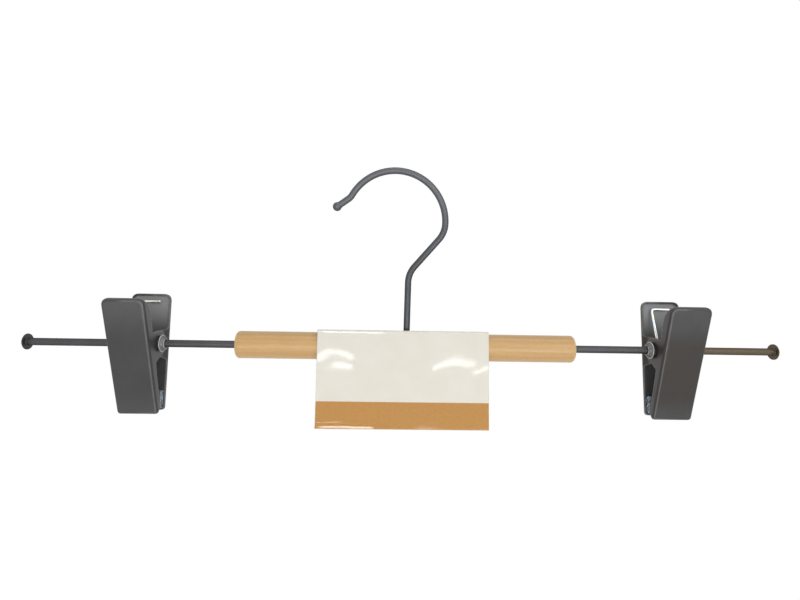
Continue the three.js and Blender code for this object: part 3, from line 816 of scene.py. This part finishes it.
def rolled_eyelet():
    """A tube whose ends are rolled over like a hat: a thin round edge, then a brim that climbs with the
    square of the share of the way in to a small lip round the bore."""
    wall = EYELET_RADIUS - EYELET_BORE
    brim = EYELET_GRIP + EYELET_BRIM
    edge = linspace(-pi / 2.0, pi / 2.0, EYELET_STEPS + 1)
    share = shares(EYELET_STEPS)[1:]
    over = linspace(0.0, pi, EYELET_LIP_STEPS + 1)[1:]
    foot = points([0.0, EYELET_GRIP, brim - wall], EYELET_RADIUS + np.array([0.0, *EYELET_FLARE]))
    rim = points(brim - wall / 2.0 * lack(edge), EYELET_RIM - wall / 2.0 * fall(edge))
    lip_foot = EYELET_HALF - EYELET_LIP_DROP
    lip_start = EYELET_BORE + EYELET_LIP
    climb = points(
        lerp(brim - EYELET_DIP * sin(share * pi), lip_foot, share ** 2),
        lerp(EYELET_RIM - wall / 2.0, lip_start, share))
    lip = points(lip_foot + EYELET_LIP_RISE * sin(over), lip_start - EYELET_LIP / 2.0 * fall(over))
    profile = joined(foot, rim, climb, lip, [[0.0, EYELET_BORE]])
    # Painted highlight on the rolled edge, brightest at the shine angle, and a faint one on the lip.
    shine = 0.25 + 0.75 * cos(edge - EYELET_SHINE_ANGLE).clip(0.0)
    rim_highlight = joined(np.zeros(len(foot)), shine, np.zeros(len(climb)), 0.3 * sin(over), [0.0])
    return Skin(*ringed(profile, EYELET_SIDES), joined(rim_highlight, rim_highlight[::-1], rim_highlight[:1])[:, None])


def friction_sleeve():
    """A plain tube with rounded ends."""
    half = EYELET_HALF + SLEEVE_PROUD
    turn = linspace(pi / 2.0, -pi / 2.0, SLEEVE_END_STEPS + 1)
    middle = (SLEEVE_RADIUS + SLEEVE_BORE) / 2.0
    wall = (SLEEVE_RADIUS - SLEEVE_BORE) / 2.0
    end = points(half - wall * fall(turn), middle + wall * sin(turn))
    return Skin(*ringed(joined([[0.0, SLEEVE_RADIUS]], end, [[0.0, SLEEVE_BORE]]), ROD_SIDES))


# Bent wire and bent board
BENT_STEPS = 12000


class BentLine:
    """A flat line whose heading turns evenly along each length; its place is the running sum of
    (cos heading, sin heading)."""

    def __init__(self, lengths, turns, heading, start):
        self.marks = joined([0.0], np.cumsum(lengths))
        bends = heading + joined([0.0], np.cumsum(turns))
        self.reach = linspace(0.0, self.marks[-1], BENT_STEPS + 1)
        self.heading = np.interp(self.reach, self.marks, bends)
        ways = points(cos(self.heading), sin(self.heading))
        steps = (ways[1:] + ways[:-1]) / 2.0 * (self.reach[1] - self.reach[0])
        self.line = start + joined([[0.0, 0.0]], np.cumsum(steps, axis=0))

    def at(self, reach):
        """Both coordinates and the heading at a length along the line."""
        return [np.interp(reach, self.reach, column) for column in (*self.line.T, self.heading)]


# Hook
HOOK_SIDES = 28
HOOK_LONG_CELLS = 460
HOOK_HEAD_STEPS = 5
HOOK_BALL_STEPS = 10


def wire_hook():
    """A bent line with a circle carried along it; its ends swell to a flat head and a ball, and it leans
    with its stem."""
    lean = HOOK_SHOULDER_LEAN
    shoulder = (HOOK_RADIUS - HOOK_SIDE - 2.0 * HOOK_BEND_RADIUS * fall(lean)) / sin(lean)
    rise = 2.0 * HOOK_BEND_RADIUS * sin(lean) + shoulder * cos(lean)
    foot = HEAD_SEAT - HOOK_HEAD_GAP - HOOK_HEAD_THICKNESS
    bend = HOOK_BEND_RADIUS * lean
    lengths = [
        HOOK_CENTRE_HEIGHT - rise - foot, bend, shoulder, bend, HOOK_RADIUS * HOOK_ARC,
        HOOK_TIP_RADIUS * HOOK_TIP_TURN, HOOK_TIP_STUB, HOOK_BALL_RADIUS]
    turns = [0.0, -lean, 0.0, lean, HOOK_ARC, -HOOK_TIP_TURN, 0.0, 0.0]
    route = BentLine(lengths, turns, pi / 2.0, [0.0, foot])

    ball = route.marks[-2]
    turn = quarter(HOOK_HEAD_STEPS)
    top = HOOK_HEAD_THICKNESS
    head_at = joined([0.0], HOOK_HEAD_EDGE * fall(turn), top - HOOK_HEAD_EDGE * lack(turn), [top])
    head_round = HOOK_HEAD_RADIUS - HOOK_HEAD_EDGE * joined(lack(turn), fall(turn))
    wire_at = linspace(top + HOOK_NECK, ball, HOOK_LONG_CELLS)
    swell = np.sqrt(np.clip(HOOK_BALL_RADIUS ** 2 - (wire_at - ball) ** 2, 0.0, None))
    wire_radius = (HOOK_WIRE_RADIUS + swell + np.hypot(HOOK_WIRE_RADIUS - swell, HOOK_BALL_BLEND)) / 2.0
    wire_radius = wire_radius - (wire_radius[0] - HOOK_WIRE_RADIUS)
    cap = quarter(HOOK_BALL_STEPS)[1:]
    at = joined(head_at, wire_at, ball + HOOK_BALL_RADIUS * sin(cap))
    radius = joined([0.0], head_round, [HOOK_WIRE_RADIUS], wire_radius, wire_radius[-1] * cos(cap))

    x, z, angle = route.at(at)
    tangent = points(cos(angle), 0.0, sin(angle))
    front = points(np.zeros_like(at), 1.0, 0.0)
    grid = tube(points(x, 0.0, z), tangent, front, radius, HOOK_SIDES)
    across, up = swung(grid[..., 0], grid[..., 2], -HOOK_LEAN)
    uv = points(at[:, None], HOOK_WIRE_RADIUS * whole_turn(HOOK_SIDES))
    return Skin(points(across, grid[..., 1], up), uv)


# Folded card; each wave is its strength, its turns across and up, and its start
CARD_SIDE_CELLS = 45
CARD_PANEL_CELLS = 52
CARD_CREASE_CELLS = 10
CARD_WAVES = ((1.0, 4.2, 3.0, 0.0), (0.36, 9.0, -4.0, 1.2), (0.14, 14.0, 6.0, 0.7))


def crossing(angle, distance, other_angle, other_distance):
    """Where two lines cross, each given by its normal's angle and its distance from the bar's axis."""
    normals = np.array([[cos(angle), sin(angle)], [cos(other_angle), sin(other_angle)]])
    return np.linalg.solve(normals, [distance, other_distance])


class CardSection:
    """The card's end view along the middle of its board: front panel, crease, spine, crease, rear panel."""

    def __init__(self):
        middle = DOWEL_RADIUS + CARD_THICKNESS / 2.0
        front, spine, rear = pi - CARD_FRONT_FLARE, pi / 2.0 - CARD_SPINE_FALL, CARD_REAR_FLARE
        front_crease = crossing(spine, middle + CARD_SPINE_GAP, front, middle + CARD_GAP)
        rear_crease = crossing(spine, middle + CARD_SPINE_GAP, rear, middle + CARD_GAP)
        turns = np.array([front - spine, spine - rear])
        taken = CARD_CREASE_RADIUS * np.tan(turns / 2.0)
        spine_length = np.linalg.norm(rear_crease - front_crease) - taken.sum()
        arcs = CARD_CREASE_RADIUS * turns
        lengths = [CARD_PANEL - taken[0], arcs[0], spine_length, arcs[1], CARD_PANEL - taken[1]]
        down = np.array([-sin(CARD_FRONT_FLARE), -cos(CARD_FRONT_FLARE)])
        self.board = BentLine(
            lengths, [0.0, -turns[0], 0.0, -turns[1], 0.0], pi / 2.0 - CARD_FRONT_FLARE,
            front_crease + down * CARD_PANEL)
        self.marks = self.board.marks
        reach = self.board.reach
        on_spine = (reach > self.marks[2]) & (reach < self.marks[3])
        self.stem = np.interp(0.0, self.board.line[on_spine, 0], reach[on_spine])

    def hem(self, reach):
        """Distance along the board to the nearer hem."""
        return np.minimum(reach, self.marks[-1] - reach)

    def place(self, across, reach):
        """A place on the board, moved along its normal by three sines that fade out at the creases and by a
        square-law curl along the left of each hem."""
        y, z, heading = self.board.at(reach)
        up = np.clip(self.hem(reach) / CARD_PANEL, 0.0, 1.0)
        share = across / (CARD_WIDTH / 2.0)
        waves = sum(strength * sin(a * share + b * up + start) for strength, a, b, start in CARD_WAVES)
        curl = np.clip(1.0 - self.hem(reach) / CARD_CURL_REACH, 0.0, 1.0) ** 2
        moved = CARD_WAVE * waves * eased_step((1.0 - up) / CARD_WAVE_FADE)
        moved = moved + CARD_CURL * curl * eased_step((CARD_CURL_END - share) / CARD_CURL_FADE)
        return points(across, y - moved * sin(heading), z + moved * cos(heading))


def folded_card():
    """The section carried across the card's width on a grid, with a round hole in the spine for the stem."""
    section = CardSection()
    marks = section.marks
    half = CARD_WIDTH / 2.0
    outer = np.append(linspace(DOWEL_BLOCK, half - CARD_CUT, CARD_SIDE_CELLS), half)
    front_panel = np.append(0.0, linspace(CARD_CUT, marks[1], CARD_PANEL_CELLS))
    front_crease = linspace(marks[1], marks[2], CARD_CREASE_CELLS)
    rear_crease = linspace(marks[3], marks[4], CARD_CREASE_CELLS)
    rear_panel = np.append(linspace(marks[4], marks[5] - CARD_CUT, CARD_PANEL_CELLS), marks[5])
    front = joined(front_panel[:-1], front_crease, [section.stem - DOWEL_BLOCK])
    middle = section.stem + BLOCK_LINE
    rear = joined([section.stem + DOWEL_BLOCK], rear_crease[:-1], rear_panel)
    skin = Skin()
    for row in (front, middle, rear):
        for column in (-outer[::-1], BLOCK_LINE, outer):
            if row is middle and column is BLOCK_LINE:
                continue
            across, reach = np.meshgrid(column, row)
            edge = np.minimum(half - np.abs(across), section.hem(reach))
            cut = np.clip(1.0 - edge / CARD_CUT, 0.0, 1.0)
            skin.add(section.place(across, reach), points(across, section.hem(reach)), cut)

    def on_spine(along, across):
        return points(along, across / cos(CARD_SPINE_FALL))

    ring, _ = square_to_circle(CARD_HOLE_RADIUS, on_spine)
    reach = section.stem + ring[..., 1]
    skin.add(section.place(ring[..., 0], reach), points(ring[..., 0], section.hem(reach)))
    return skin


# Jaws; each bell of painted highlight and shade round a bend is its strength, its middle and its width in
# degrees
JAW_EDGE_CELLS = 14
JAW_CORNER_CELLS = 9
JAW_CELL = 0.5
JAW_BEND_STEPS = 8
JAW_HOLLOW_STEPS = 5
SHEET_EDGE_STEPS = 4
EDGE_SOFTENING = 5
INWARD_SOFTENING = 3
EAR_ARC_CELLS = 60
EAR_STEPS = 7
EAR_HOLE_EDGE_LIGHT = 0.6
FLANGE_STEPS = 5
SIDE_LOW = JAW_TIP_CORNER - JAW_BELOW
SIDE_HIGH = JAW_ABOVE - JAW_TOP_CORNER
INNER_DEPTH = SHEET + JAW_INNER_BEND
PIVOT_SPOT = np.array([FACE_OFFSET, 0.0])
EAR_SPOT = np.array([FACE_OFFSET, -EAR_DROP])
BEND_BELLS = ((0.8, 24.0, 14.0), (-1.0, 62.0, 15.0))


def bend_shading(angle):
    """Painted light round a bend: a highlight near the face, then shade in the fold. Each is a bell, its
    strength times e to the power of less the square of the angle's distance from the middle over the width."""
    degrees = np.degrees(angle)
    return sum(high * np.exp(-((degrees - middle) / width) ** 2) for high, middle, width in BEND_BELLS)


def meeting_depth(height):
    """How far behind a jaw's outer face the two jaws meet at a height."""
    return FACE_OFFSET + height * np.tan(JAW_LEAN)


class Jaw:
    """A pressed tray worked out in its own frame: across, depth behind its outer face, height."""

    def __init__(self, flange):
        self.joggle = flange["joggle"]
        self.top_depth = flange["top"]
        self.tip_depth = meeting_depth(-JAW_BELOW) - flange["tip_setback"]
        low = stepped(SIDE_LOW, -EAR_BELOW, JAW_CELL)
        high = stepped(EAR_ABOVE, SIDE_HIGH, JAW_CELL)
        ear = self.ear_edge()
        ear_base = linspace(-EAR_BELOW, EAR_ABOVE, len(ear))
        side_edge = softened(joined(self.plain_edge(low), ear[1:-1], self.plain_edge(high)), EDGE_SOFTENING)
        self.rise = joined(low, ear_base[1:-1], high)
        self.lead = JAW_EDGE_CELLS + JAW_CORNER_CELLS
        self.side = slice(self.lead, self.lead + len(self.rise))
        self.ear = slice(self.lead + len(low) - 1, self.lead + len(low) + len(ear) - 1)
        self.base = self.chain(0.0)[:, 1]
        self.on_side = np.zeros(len(self.base), bool)
        self.on_side[self.side] = True
        self.edge = self.plain_edge(self.base)
        self.edge[self.side] = side_edge
        along = unit(np.gradient(side_edge, axis=0))
        inward = np.zeros_like(self.edge)
        inward[:, 0] = -1.0
        inward[self.side] = points(-along[:, 1], along[:, 0])
        self.inward = softened(inward, INWARD_SOFTENING)
        self.held = self.edge + SHEET_EDGE * self.inward

    def flange_depth(self, height):
        return lerp(self.tip_depth, self.top_depth, (height + JAW_BELOW) / JAW_LENGTH)

    def plain_edge(self, height):
        """Depth and height of the sheet's edge: lips at both ends, sloping shoulders, the flange between."""
        top_shoulder = JAW_ABOVE - SHEET - FLANGE_SHOULDER
        tip_shoulder = SHEET + JAW_TIP_CORNER - JAW_BELOW
        heights = [SHEET - JAW_BELOW, tip_shoulder, top_shoulder, JAW_ABOVE - SHEET]
        depths = [TIP_LIP, self.flange_depth(tip_shoulder), self.flange_depth(top_shoulder), TOP_LIP]
        return points(np.interp(height, heights, depths), height)

    def ear_edge(self):
        """The ear's edge: from its lower root, tangent to the round at the pivot, to its upper root."""
        lower = np.array([self.flange_depth(-EAR_BELOW), -EAR_BELOW])
        upper = np.array([self.flange_depth(EAR_ABOVE), EAR_ABOVE])

        def tangent_angle(root, way):
            spoke = root - EAR_SPOT
            return np.arctan2(spoke[1], spoke[0]) + way * np.arccos(EAR_RADIUS / np.linalg.norm(spoke))

        angle = linspace(tangent_angle(lower, 1.0), tangent_angle(upper, -1.0), EAR_ARC_CELLS)
        arc = EAR_SPOT + EAR_RADIUS * points(cos(angle), sin(angle))
        route = joined([lower], arc, [upper])
        return respaced(route, 1 + round(reach_along(route)[-1] / JAW_CELL))

    def chain(self, inset):
        """Right half of the outline drawn in by an inset, from the tip's middle to the top's middle."""
        def corner(height, side_height, radius):
            at = np.array([jaw_half_width(height) - inset, height])
            end = np.array([jaw_half_width(side_height) - inset, side_height])
            start = at - [max(radius - inset, SHEET / 2.0), 0.0]
            straight = linspace([0.0, height], start, JAW_EDGE_CELLS + 1)
            return joined(straight[:-1], bend_between(start, at, end, JAW_CORNER_CELLS)[:-1])

        side = points(jaw_half_width(self.rise) - inset, self.rise)
        lower = corner(inset - JAW_BELOW, SIDE_LOW, JAW_TIP_CORNER)
        upper = corner(JAW_ABOVE - inset, SIDE_HIGH, JAW_TOP_CORNER)
        return joined(lower, side, upper[::-1])

    def side_wall(self, depth, height, inset):
        """A place on the side wall, which steps inwards by the joggle between the flange and the ear."""
        beyond = np.maximum(height - EAR_ABOVE, -EAR_BELOW - height)
        fade = 1.0 - eased_step(beyond / JOGGLE_FADE)
        step = self.joggle * eased_step((depth - JOGGLE_START) / JOGGLE_RUN) * fade
        return points(jaw_half_width(height) - inset - step, depth, height)

    def ring(self, depth, height, inset):
        """One line round the half tray at a depth, height and inset for each place on the outline."""
        outline = self.chain(inset)
        wall = self.side_wall(depth, height, inset)
        rest = points(outline[:, 0], depth, outline[:, 1])
        return np.where(self.on_side[:, None], wall, rest)

    def face(self, inset, depth):
        """A face spread between the outline's four sides, bowed by the crown at its middle."""
        edge = self.chain(inset)
        bottom = edge[:self.lead + 1]
        right = edge[self.side]
        top = edge[self.side.stop - 1:][::-1]
        left = points(0.0, lerp(bottom[0, 1], top[0, 1], share_along(right)))
        sheet, across, rise = spread(bottom, right, top, left)
        bow = JAW_CROWN * (1.0 - across ** 2) * 4.0 * rise * (1.0 - rise)
        return points(sheet[..., 0], depth - bow, sheet[..., 1])

    def ear_wall(self, inset, base_depth):
        """Rings from the pivot hole out to the ear's base line and edge, along straight spokes."""
        base = points(base_depth, self.base[self.ear])
        rim = self.held[self.ear]
        share = shares(FLANGE_STEPS)[:, None]
        upper = lerp(base[-1], rim[-1], share)
        lower = lerp(base[0], rim[0], share)
        loop = joined(base, upper[1:], rim[::-1][1:], lower[::-1][1:])
        hole = PIVOT_SPOT + EAR_HOLE * unit(loop - PIVOT_SPOT)
        sheet = lerp(hole, loop, shares(EAR_STEPS)[:, None, None])
        return self.side_wall(sheet[..., 0], sheet[..., 1], inset)

    def flange(self, inset, base_depth):
        """The flange's two stretches, below and above the ear, from the bend to the edge."""
        share = shares(FLANGE_STEPS)[:, None]
        depth = lerp(base_depth, self.held[:, 0], share)
        height = lerp(self.base, self.held[:, 1], share)
        rows = np.stack([self.ring(d, h, inset) for d, h in zip(depth, height)])
        return rows[:, :self.ear.start + 1], rows[:, self.ear.stop - 1:]

    def patches(self):
        """All the half tray's grids, each with its mark of painted highlight and shade and 1 if it is inside:
        face, bend, flange and ear, edge, then the same within."""
        turn = quarter(JAW_BEND_STEPS)
        bend = np.stack([self.ring(JAW_BEND * fall(a), self.base, JAW_BEND * lack(a)) for a in turn])
        hollow = np.stack([
            self.ring(SHEET + JAW_INNER_BEND * lack(a), self.base, SHEET + JAW_INNER_BEND * fall(a))
            for a in quarter(JAW_HOLLOW_STEPS)])
        arc = quarter(SHEET_EDGE_STEPS)
        insets = joined(SHEET_EDGE * fall(arc), SHEET - SHEET_EDGE * lack(arc))
        backs = SHEET_EDGE * joined(lack(arc), fall(arc))
        rounded = np.stack([
            self.ring(*(self.edge + back * self.inward).T, inset) for inset, back in zip(insets, backs)])
        outer_ear = self.ear_wall(0.0, JAW_BEND)
        inner_ear = self.ear_wall(SHEET, INNER_DEPTH)
        outside = [(grid, 0.0, 0.0) for grid in (*self.flange(0.0, JAW_BEND), outer_ear)]
        inside = [(grid, 0.0, 1.0) for grid in (*self.flange(SHEET, INNER_DEPTH), inner_ear)]
        return [
            (self.face(JAW_BEND, 0.0), 0.0, 0.0),
            (bend, bend_shading(turn)[:, None], 0.0),
            *outside,
            (rounded, 1.0, 0.0),
            *inside,
            (np.stack([outer_ear[0], inner_ear[0]]), EAR_HOLE_EDGE_LIGHT, 0.0),
            (hollow, 0.0, 1.0),
            (self.face(INNER_DEPTH, SHEET), 0.0, 1.0),
        ]


def on_clip(grid, front):
    """From a jaw's own frame to the clip's: leant about the pivot, and turned right round for the rear."""
    y, z = swung(grid[..., 1] - FACE_OFFSET, grid[..., 2], JAW_LEAN)
    placed = points(grid[..., 0], y, z)
    return placed if front else placed * HALF_ROUND


def pressed_jaw(jaw, front):
    """The half tray and its mirror image, joined along the middle."""
    skin = Skin()
    for grid, edge_light_and_wear, inside in jaw.patches():
        for way in (1.0, -1.0):
            skin.add(on_clip(grid * [way, 1.0, 1.0], front), points(inside, grid[..., 2]), edge_light_and_wear)
    return skin


# Grip pads
PAD_PROFILE = 180
PAD_STATIONS = 24
PAD_RIDGE_CELLS = 200
PAD_END_STEPS = 6
PAD_SOFTENING = 3
PAD_WRAP = 9


def grip_pad(front):
    """A ridged side view carried across the tray's tip, drawn in and rounded at both ends.

    The ridges are crest less depth times the squared cosine of pi times height over pitch.
    """
    bottom = PAD_SEAT - JAW_BELOW
    pitch = PAD_HEIGHT / PAD_RIDGES
    crest = meeting_depth(bottom + pitch / 2.0) - PAD_MEETING_GAP / 2.0 / cos(JAW_LEAN)
    height = linspace(0.0, PAD_HEIGHT, PAD_RIDGE_CELLS)
    ridges = points(crest - PAD_RIDGE_DEPTH * cos(pi * height / pitch) ** 2, bottom + height)
    back = np.array([[PAD_SEAT, bottom], [PAD_SEAT, bottom + PAD_HEIGHT]])
    loop = respaced(joined(back[:1], ridges, back[::-1]), PAD_PROFILE)
    wrapped = joined(loop[-1 - PAD_WRAP:-1], loop, loop[1:1 + PAD_WRAP])
    ring = softened(wrapped, PAD_SOFTENING)[PAD_WRAP:-PAD_WRAP]
    middle = (ring.min(axis=0) + ring.max(axis=0)) / 2.0
    size = (ring.max(axis=0) - ring.min(axis=0)) / 2.0
    turn = quarter(PAD_END_STEPS)
    width = jaw_half_width(bottom) - PAD_SEAT
    flat = 1.0 - PAD_END_ROUND / width
    end = 1.0 - (1.0 - flat) * fall(turn)
    inner = flat * linspace(-1.0, 1.0, PAD_STATIONS)[1:-1]
    along = joined([-1.0], -end, inner, end[::-1], [1.0])
    drawn = joined([0.0], lack(turn), np.zeros_like(inner), lack(turn)[::-1], [0.0])
    scale = 1.0 - PAD_END_ROUND * drawn[:, None] / size
    scale[[0, -1]] = 0.0
    section = middle + (ring - middle) * scale[:, None, :]
    grid = points((along * width)[:, None], section[..., 0], section[..., 1])
    return Skin(on_clip(grid, front))


# Springs
SPRING_SIDES = 20
SPRING_STEP = 0.22
SPRING_COIL_STEPS = 259
SPRING_BAR_CELLS = 24
SPRING_BEND_STEPS = 23
SPRING_ARM_CELLS = 50
SPRING_SOFTENING = 4
SPRING_END_STEPS = 6


def spring_wire():
    """A torsion spring, one wire carried along its route: bar, bend, arm, coil, and the same again.

    The coil is (x, r cos angle, r sin angle) with x running evenly with the angle. The rear half is
    worked out from its free end to the coil's middle, and turned half round about the upright.
    """
    bearing = FACE_OFFSET - SHEET - SPRING_FACE_GAP - SPRING_WIRE_RADIUS
    bar = np.array(swung(bearing, JAW_ABOVE - SPRING_BAR_BELOW_TOP, -JAW_LEAN))
    leaving = np.arctan2(bar[1], bar[0]) - np.arccos(SPRING_COIL_RADIUS / np.linalg.norm(bar))
    part_turn = (pi + 2.0 * leaving) / (2.0 * pi)
    room = 2.0 * SPRING_COIL_REACH / (2.0 * SPRING_WIRE_RADIUS + SPRING_COIL_GAP)
    half_sweep = pi * (np.floor(room - part_turn) + part_turn)

    share = shares(SPRING_COIL_STEPS)
    angle = leaving - half_sweep * share
    radial = points(0.0, cos(angle), sin(angle))
    coil = SPRING_COIL_RADIUS * radial + points(SPRING_COIL_REACH * (share - 1.0), 0.0, 0.0)
    free_end = np.array([SPRING_BAR_REACH, *bar])
    corner = np.array([-SPRING_ARM_REACH, *bar])
    bend_start = corner + [SPRING_BAR_BEND, 0.0, 0.0]
    bend_end = corner + unit(coil[0] - corner) * SPRING_BAR_BEND
    lead = joined(
        linspace(free_end, bend_start, SPRING_BAR_CELLS)[:-1],
        bend_between(bend_start, corner, bend_end, SPRING_BEND_STEPS),
        linspace(bend_end, coil[0], SPRING_ARM_CELLS)[1:-1])
    half = joined(lead, coil)
    guide = joined(np.repeat(radial[:1], len(lead), axis=0), radial)
    route = joined(half, half[::-1][1:] * HALF_ROUND)
    guide = joined(guide, guide[::-1][1:] * HALF_ROUND)
    count = 1 + 2 * round(reach_along(route)[-1] / SPRING_STEP / 2.0)
    line = softened(respaced(route, count), SPRING_SOFTENING)
    guide = respaced(route, count, guide)
    tangent = unit(np.gradient(line, axis=0))
    side = unit(guide - tangent * np.sum(guide * tangent, axis=1)[:, None])

    ease = quarter(SPRING_END_STEPS)
    cap_radius = joined([0.0], SPRING_WIRE_RADIUS - SPRING_NIB * lack(ease))
    cap_at = joined([0.0], SPRING_NIB * fall(ease))
    first = np.zeros(len(cap_at), int)
    rows = joined(first, np.arange(2, len(line) - 2), first - 1)
    shank = np.zeros(len(line) - 4)
    inset = joined(cap_at, shank, -cap_at[::-1])[:, None]
    radius = joined(cap_radius, shank + SPRING_WIRE_RADIUS, cap_radius[::-1])
    grid = tube(line[rows] + tangent[rows] * inset, tangent[rows], side[rows], radius, SPRING_SIDES)
    at = reach_along(line)[rows][:, None] + inset
    return Skin(grid, points(at, SPRING_WIRE_RADIUS * whole_turn(SPRING_SIDES)))


# Everything put together
def assemble():
    dark = black_paint()
    wire_coat = rod_paint(True)
    rod_coat = rod_paint(False)
    vinyl = clear_vinyl()
    zinc = zinc_wire()
    steel = rivet_steel()
    nylon = pale_nylon()

    bar = wooden_bar().piece("beech_bar", BAR, beech())
    settle(bar, "bar", "wooden_dowel")
    stem = wire_hook().piece("wire_hook", BAR, wire_coat)
    settle(stem, "hook", "hook")
    card = folded_card().piece("folded_card", BAR + [CARD_SHIFT * MM, 0.0, 0.0], coated_card(), closed=False)
    wall = card.modifiers.new("board", "SOLIDIFY")
    wall.thickness = CARD_THICKNESS * MM
    wall.offset = 0.0
    settle(card, "card", "label_card")

    jaws = {"front": Jaw(FRONT_FLANGE), "rear": Jaw(REAR_FLANGE)}
    for side, pivot in PIVOTS.items():
        rod = headed_rod(side).piece(side + "_headed_rod", BAR, rod_coat)
        settle(rod, "bar", side + "_rod")
        eyelet = rolled_eyelet().piece(side + "_rolled_eyelet", pivot, steel)
        settle(eyelet, side + "_slider", side + "_pivot_eyelet")
        sleeve = friction_sleeve().piece(side + "_rod_sleeve", pivot, nylon)
        settle(sleeve, side + "_slider", side + "_friction_sleeve")
        for end, jaw in jaws.items():
            body = side + "_" + end
            tray = pressed_jaw(jaw, end == "front").piece(body + "_pressed_jaw", pivot, dark)
            settle(tray, body, body + "_jaw")
            pad = grip_pad(end == "front").piece(body + "_grip_pad", pivot, vinyl)
            settle(pad, body, body + "_pad")
        spring = spring_wire().piece(side + "_wound_spring", pivot, zinc)
        settle(spring, None, side + "_spring")
        turnover = np.array([0.0, SPRING_TURNOVER * MM, 0.0])
        start, end = tuple(pivot + turnover), tuple(pivot - turnover)
        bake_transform(spring)


# Floor, light and camera; each lamp is its name, its place from the bar, its width, height and power
FLOOR_LEVEL = -0.55
FLOOR_HALF = 6.0
FLOOR_COLOUR = (0.7, 0.7, 0.7, 1.0)
FLOOR_SEEN = 0.94
FLOOR_GLOW = 1.05
FLOOR_BOUNCE = 0.25
AMBIENT = 0.34
WHITE = (1.0, 1.0, 1.0, 1.0)
CAMERA_FOCAL = 480.0
CAMERA_DISTANCE = 197.50797
CAMERA_ELEVATION = 0.0873021757
CAMERA_ROLL = -0.0178826558
CAMERA_YAW = 0.0197807401
CAMERA_ACROSS = 2.5005533
CAMERA_UP = -19.266742
CAMERA_NEAR = 0.01
IMAGE_WIDTH = 800.0
SENSOR_WIDTH = 36.0
LAMPS = (
    ("near_box", [0.02, -0.38, -0.07], 0.5, 0.09, 0.6),
    ("side_box", [0.5, -0.85, 0.45], 0.4, 0.4, 1.6),
    ("left_glint", [-0.145, -1.0, 0.15], 0.07, 0.010, 0.023),
    ("low_glint", [-0.129, -1.0, 0.127], 0.03, 0.012, 0.013),
    ("right_glint", [0.155, -1.0, 0.139], 0.07, 0.010, 0.023),
    ("end_glint", [0.205, -1.0, 0.122], 0.03, 0.008, 0.008),
    ("hem_glint", [-0.10, -1.0, 0.285], 0.15, 0.05, 0.35),
    ("top_box", [0.1, -0.2, 1.2], 0.8, 0.6, 2.4),
)


def seen_directly(f):
    """One for rays that show the background itself: from the camera, in gloss or through glass."""
    light = f.node("ShaderNodeLightPath", None, None, "Is Camera Ray")
    gloss = Value(f, light.socket.node.outputs["Is Glossy Ray"])
    through = Value(f, light.socket.node.outputs["Is Transmission Ray"])
    return (light + gloss + through).rises(0.0, 1.0)


def empty_tree(block):
    """The node maker of a material or world whose nodes are cleared away."""
    block.use_nodes = True
    block.node_tree.nodes.clear()
    return Finish(block.node_tree)


def white_floor():
    """A wide flat sheet far below the hanger, white to the eye but still shaded where light is held off."""
    line = np.array([-FLOOR_HALF, 0.0, FLOOR_HALF]) / MM
    material = bpy.data.materials.new("white_seamless")
    f = empty_tree(material)
    matte = f.node("ShaderNodeBsdfDiffuse", None, {"Color": FLOOR_COLOUR})
    glow = f.node("ShaderNodeEmission", None, {"Strength": FLOOR_GLOW})
    share = FLOOR_BOUNCE + (FLOOR_SEEN - FLOOR_BOUNCE) * seen_directly(f)
    both = f.node("ShaderNodeMixShader", None, {0: share, 1: matte, 2: glow})
    f.node("ShaderNodeOutputMaterial", None, {"Surface": both}, None)
    sheet = Skin(points(line, line[:, None], 0.0))
    floor = sheet.piece("white_floor", np.array([0.0, 0.0, FLOOR_LEVEL]), material, closed=False)


def white_world():
    """Soft even light from all round, and plain white where the background itself is seen."""
    world = bpy.data.worlds.new("studio")
    bpy.context.scene.world = world
    f = empty_tree(world)
    strength = AMBIENT + (1.0 - AMBIENT) * seen_directly(f)
    white = f.node("ShaderNodeBackground", None, {"Color": WHITE, "Strength": strength})
    f.node("ShaderNodeOutputWorld", None, {"Surface": white}, None)


def stand(name, data, right, up, back, place):
    """A lamp or camera in the scene at a place, by which way its right, its top and its back face."""
    made = bpy.data.objects.new(name, data)
    bpy.context.scene.collection.objects.link(made)
    turn = np.column_stack([right, up, back, place])
    made.matrix_world = Matrix(np.vstack([turn, [0.0, 0.0, 0.0, 1.0]]).tolist())
    return made


def soft_box(name, offset, width, height, power):
    """A rectangular lamp at an offset from the bar's middle, facing it."""
    lamp = bpy.data.lights.new(name, "AREA")
    lamp.shape = "RECTANGLE"
    lamp.size = width
    lamp.size_y = height
    lamp.energy = power
    back = unit(np.array(offset))
    right = unit(np.cross([0.0, 0.0, 1.0], back))
    stand(name, lamp, right, np.cross(back, right), back, BAR + offset)


def photo_camera():
    """The camera fitted to the photograph: aimed by yaw, elevation and roll, set back along its axis."""
    yaw, rise = CAMERA_YAW, CAMERA_ELEVATION
    forward = np.array([sin(yaw) * cos(rise), cos(yaw) * cos(rise), -sin(rise)])
    level = np.array([cos(yaw), -sin(yaw), 0.0])
    right, up = swung(level, np.cross(level, forward), CAMERA_ROLL)
    place = BAR - MM * (CAMERA_ACROSS * right + CAMERA_UP * up + CAMERA_DISTANCE * forward)
    lens = bpy.data.cameras.new("photo_camera")
    lens.sensor_fit = "HORIZONTAL"
    lens.sensor_width = SENSOR_WIDTH
    lens.lens = SENSOR_WIDTH * CAMERA_FOCAL / IMAGE_WIDTH
    lens.clip_start = CAMERA_NEAR
    bpy.context.scene.camera = stand("photo_camera", lens, right, up, -forward, place)


bpy.context.scene.view_settings.view_transform = "Standard"
assemble()
white_floor()
white_world()
for lamp in LAMPS:
    soft_box(*lamp)
photo_camera()
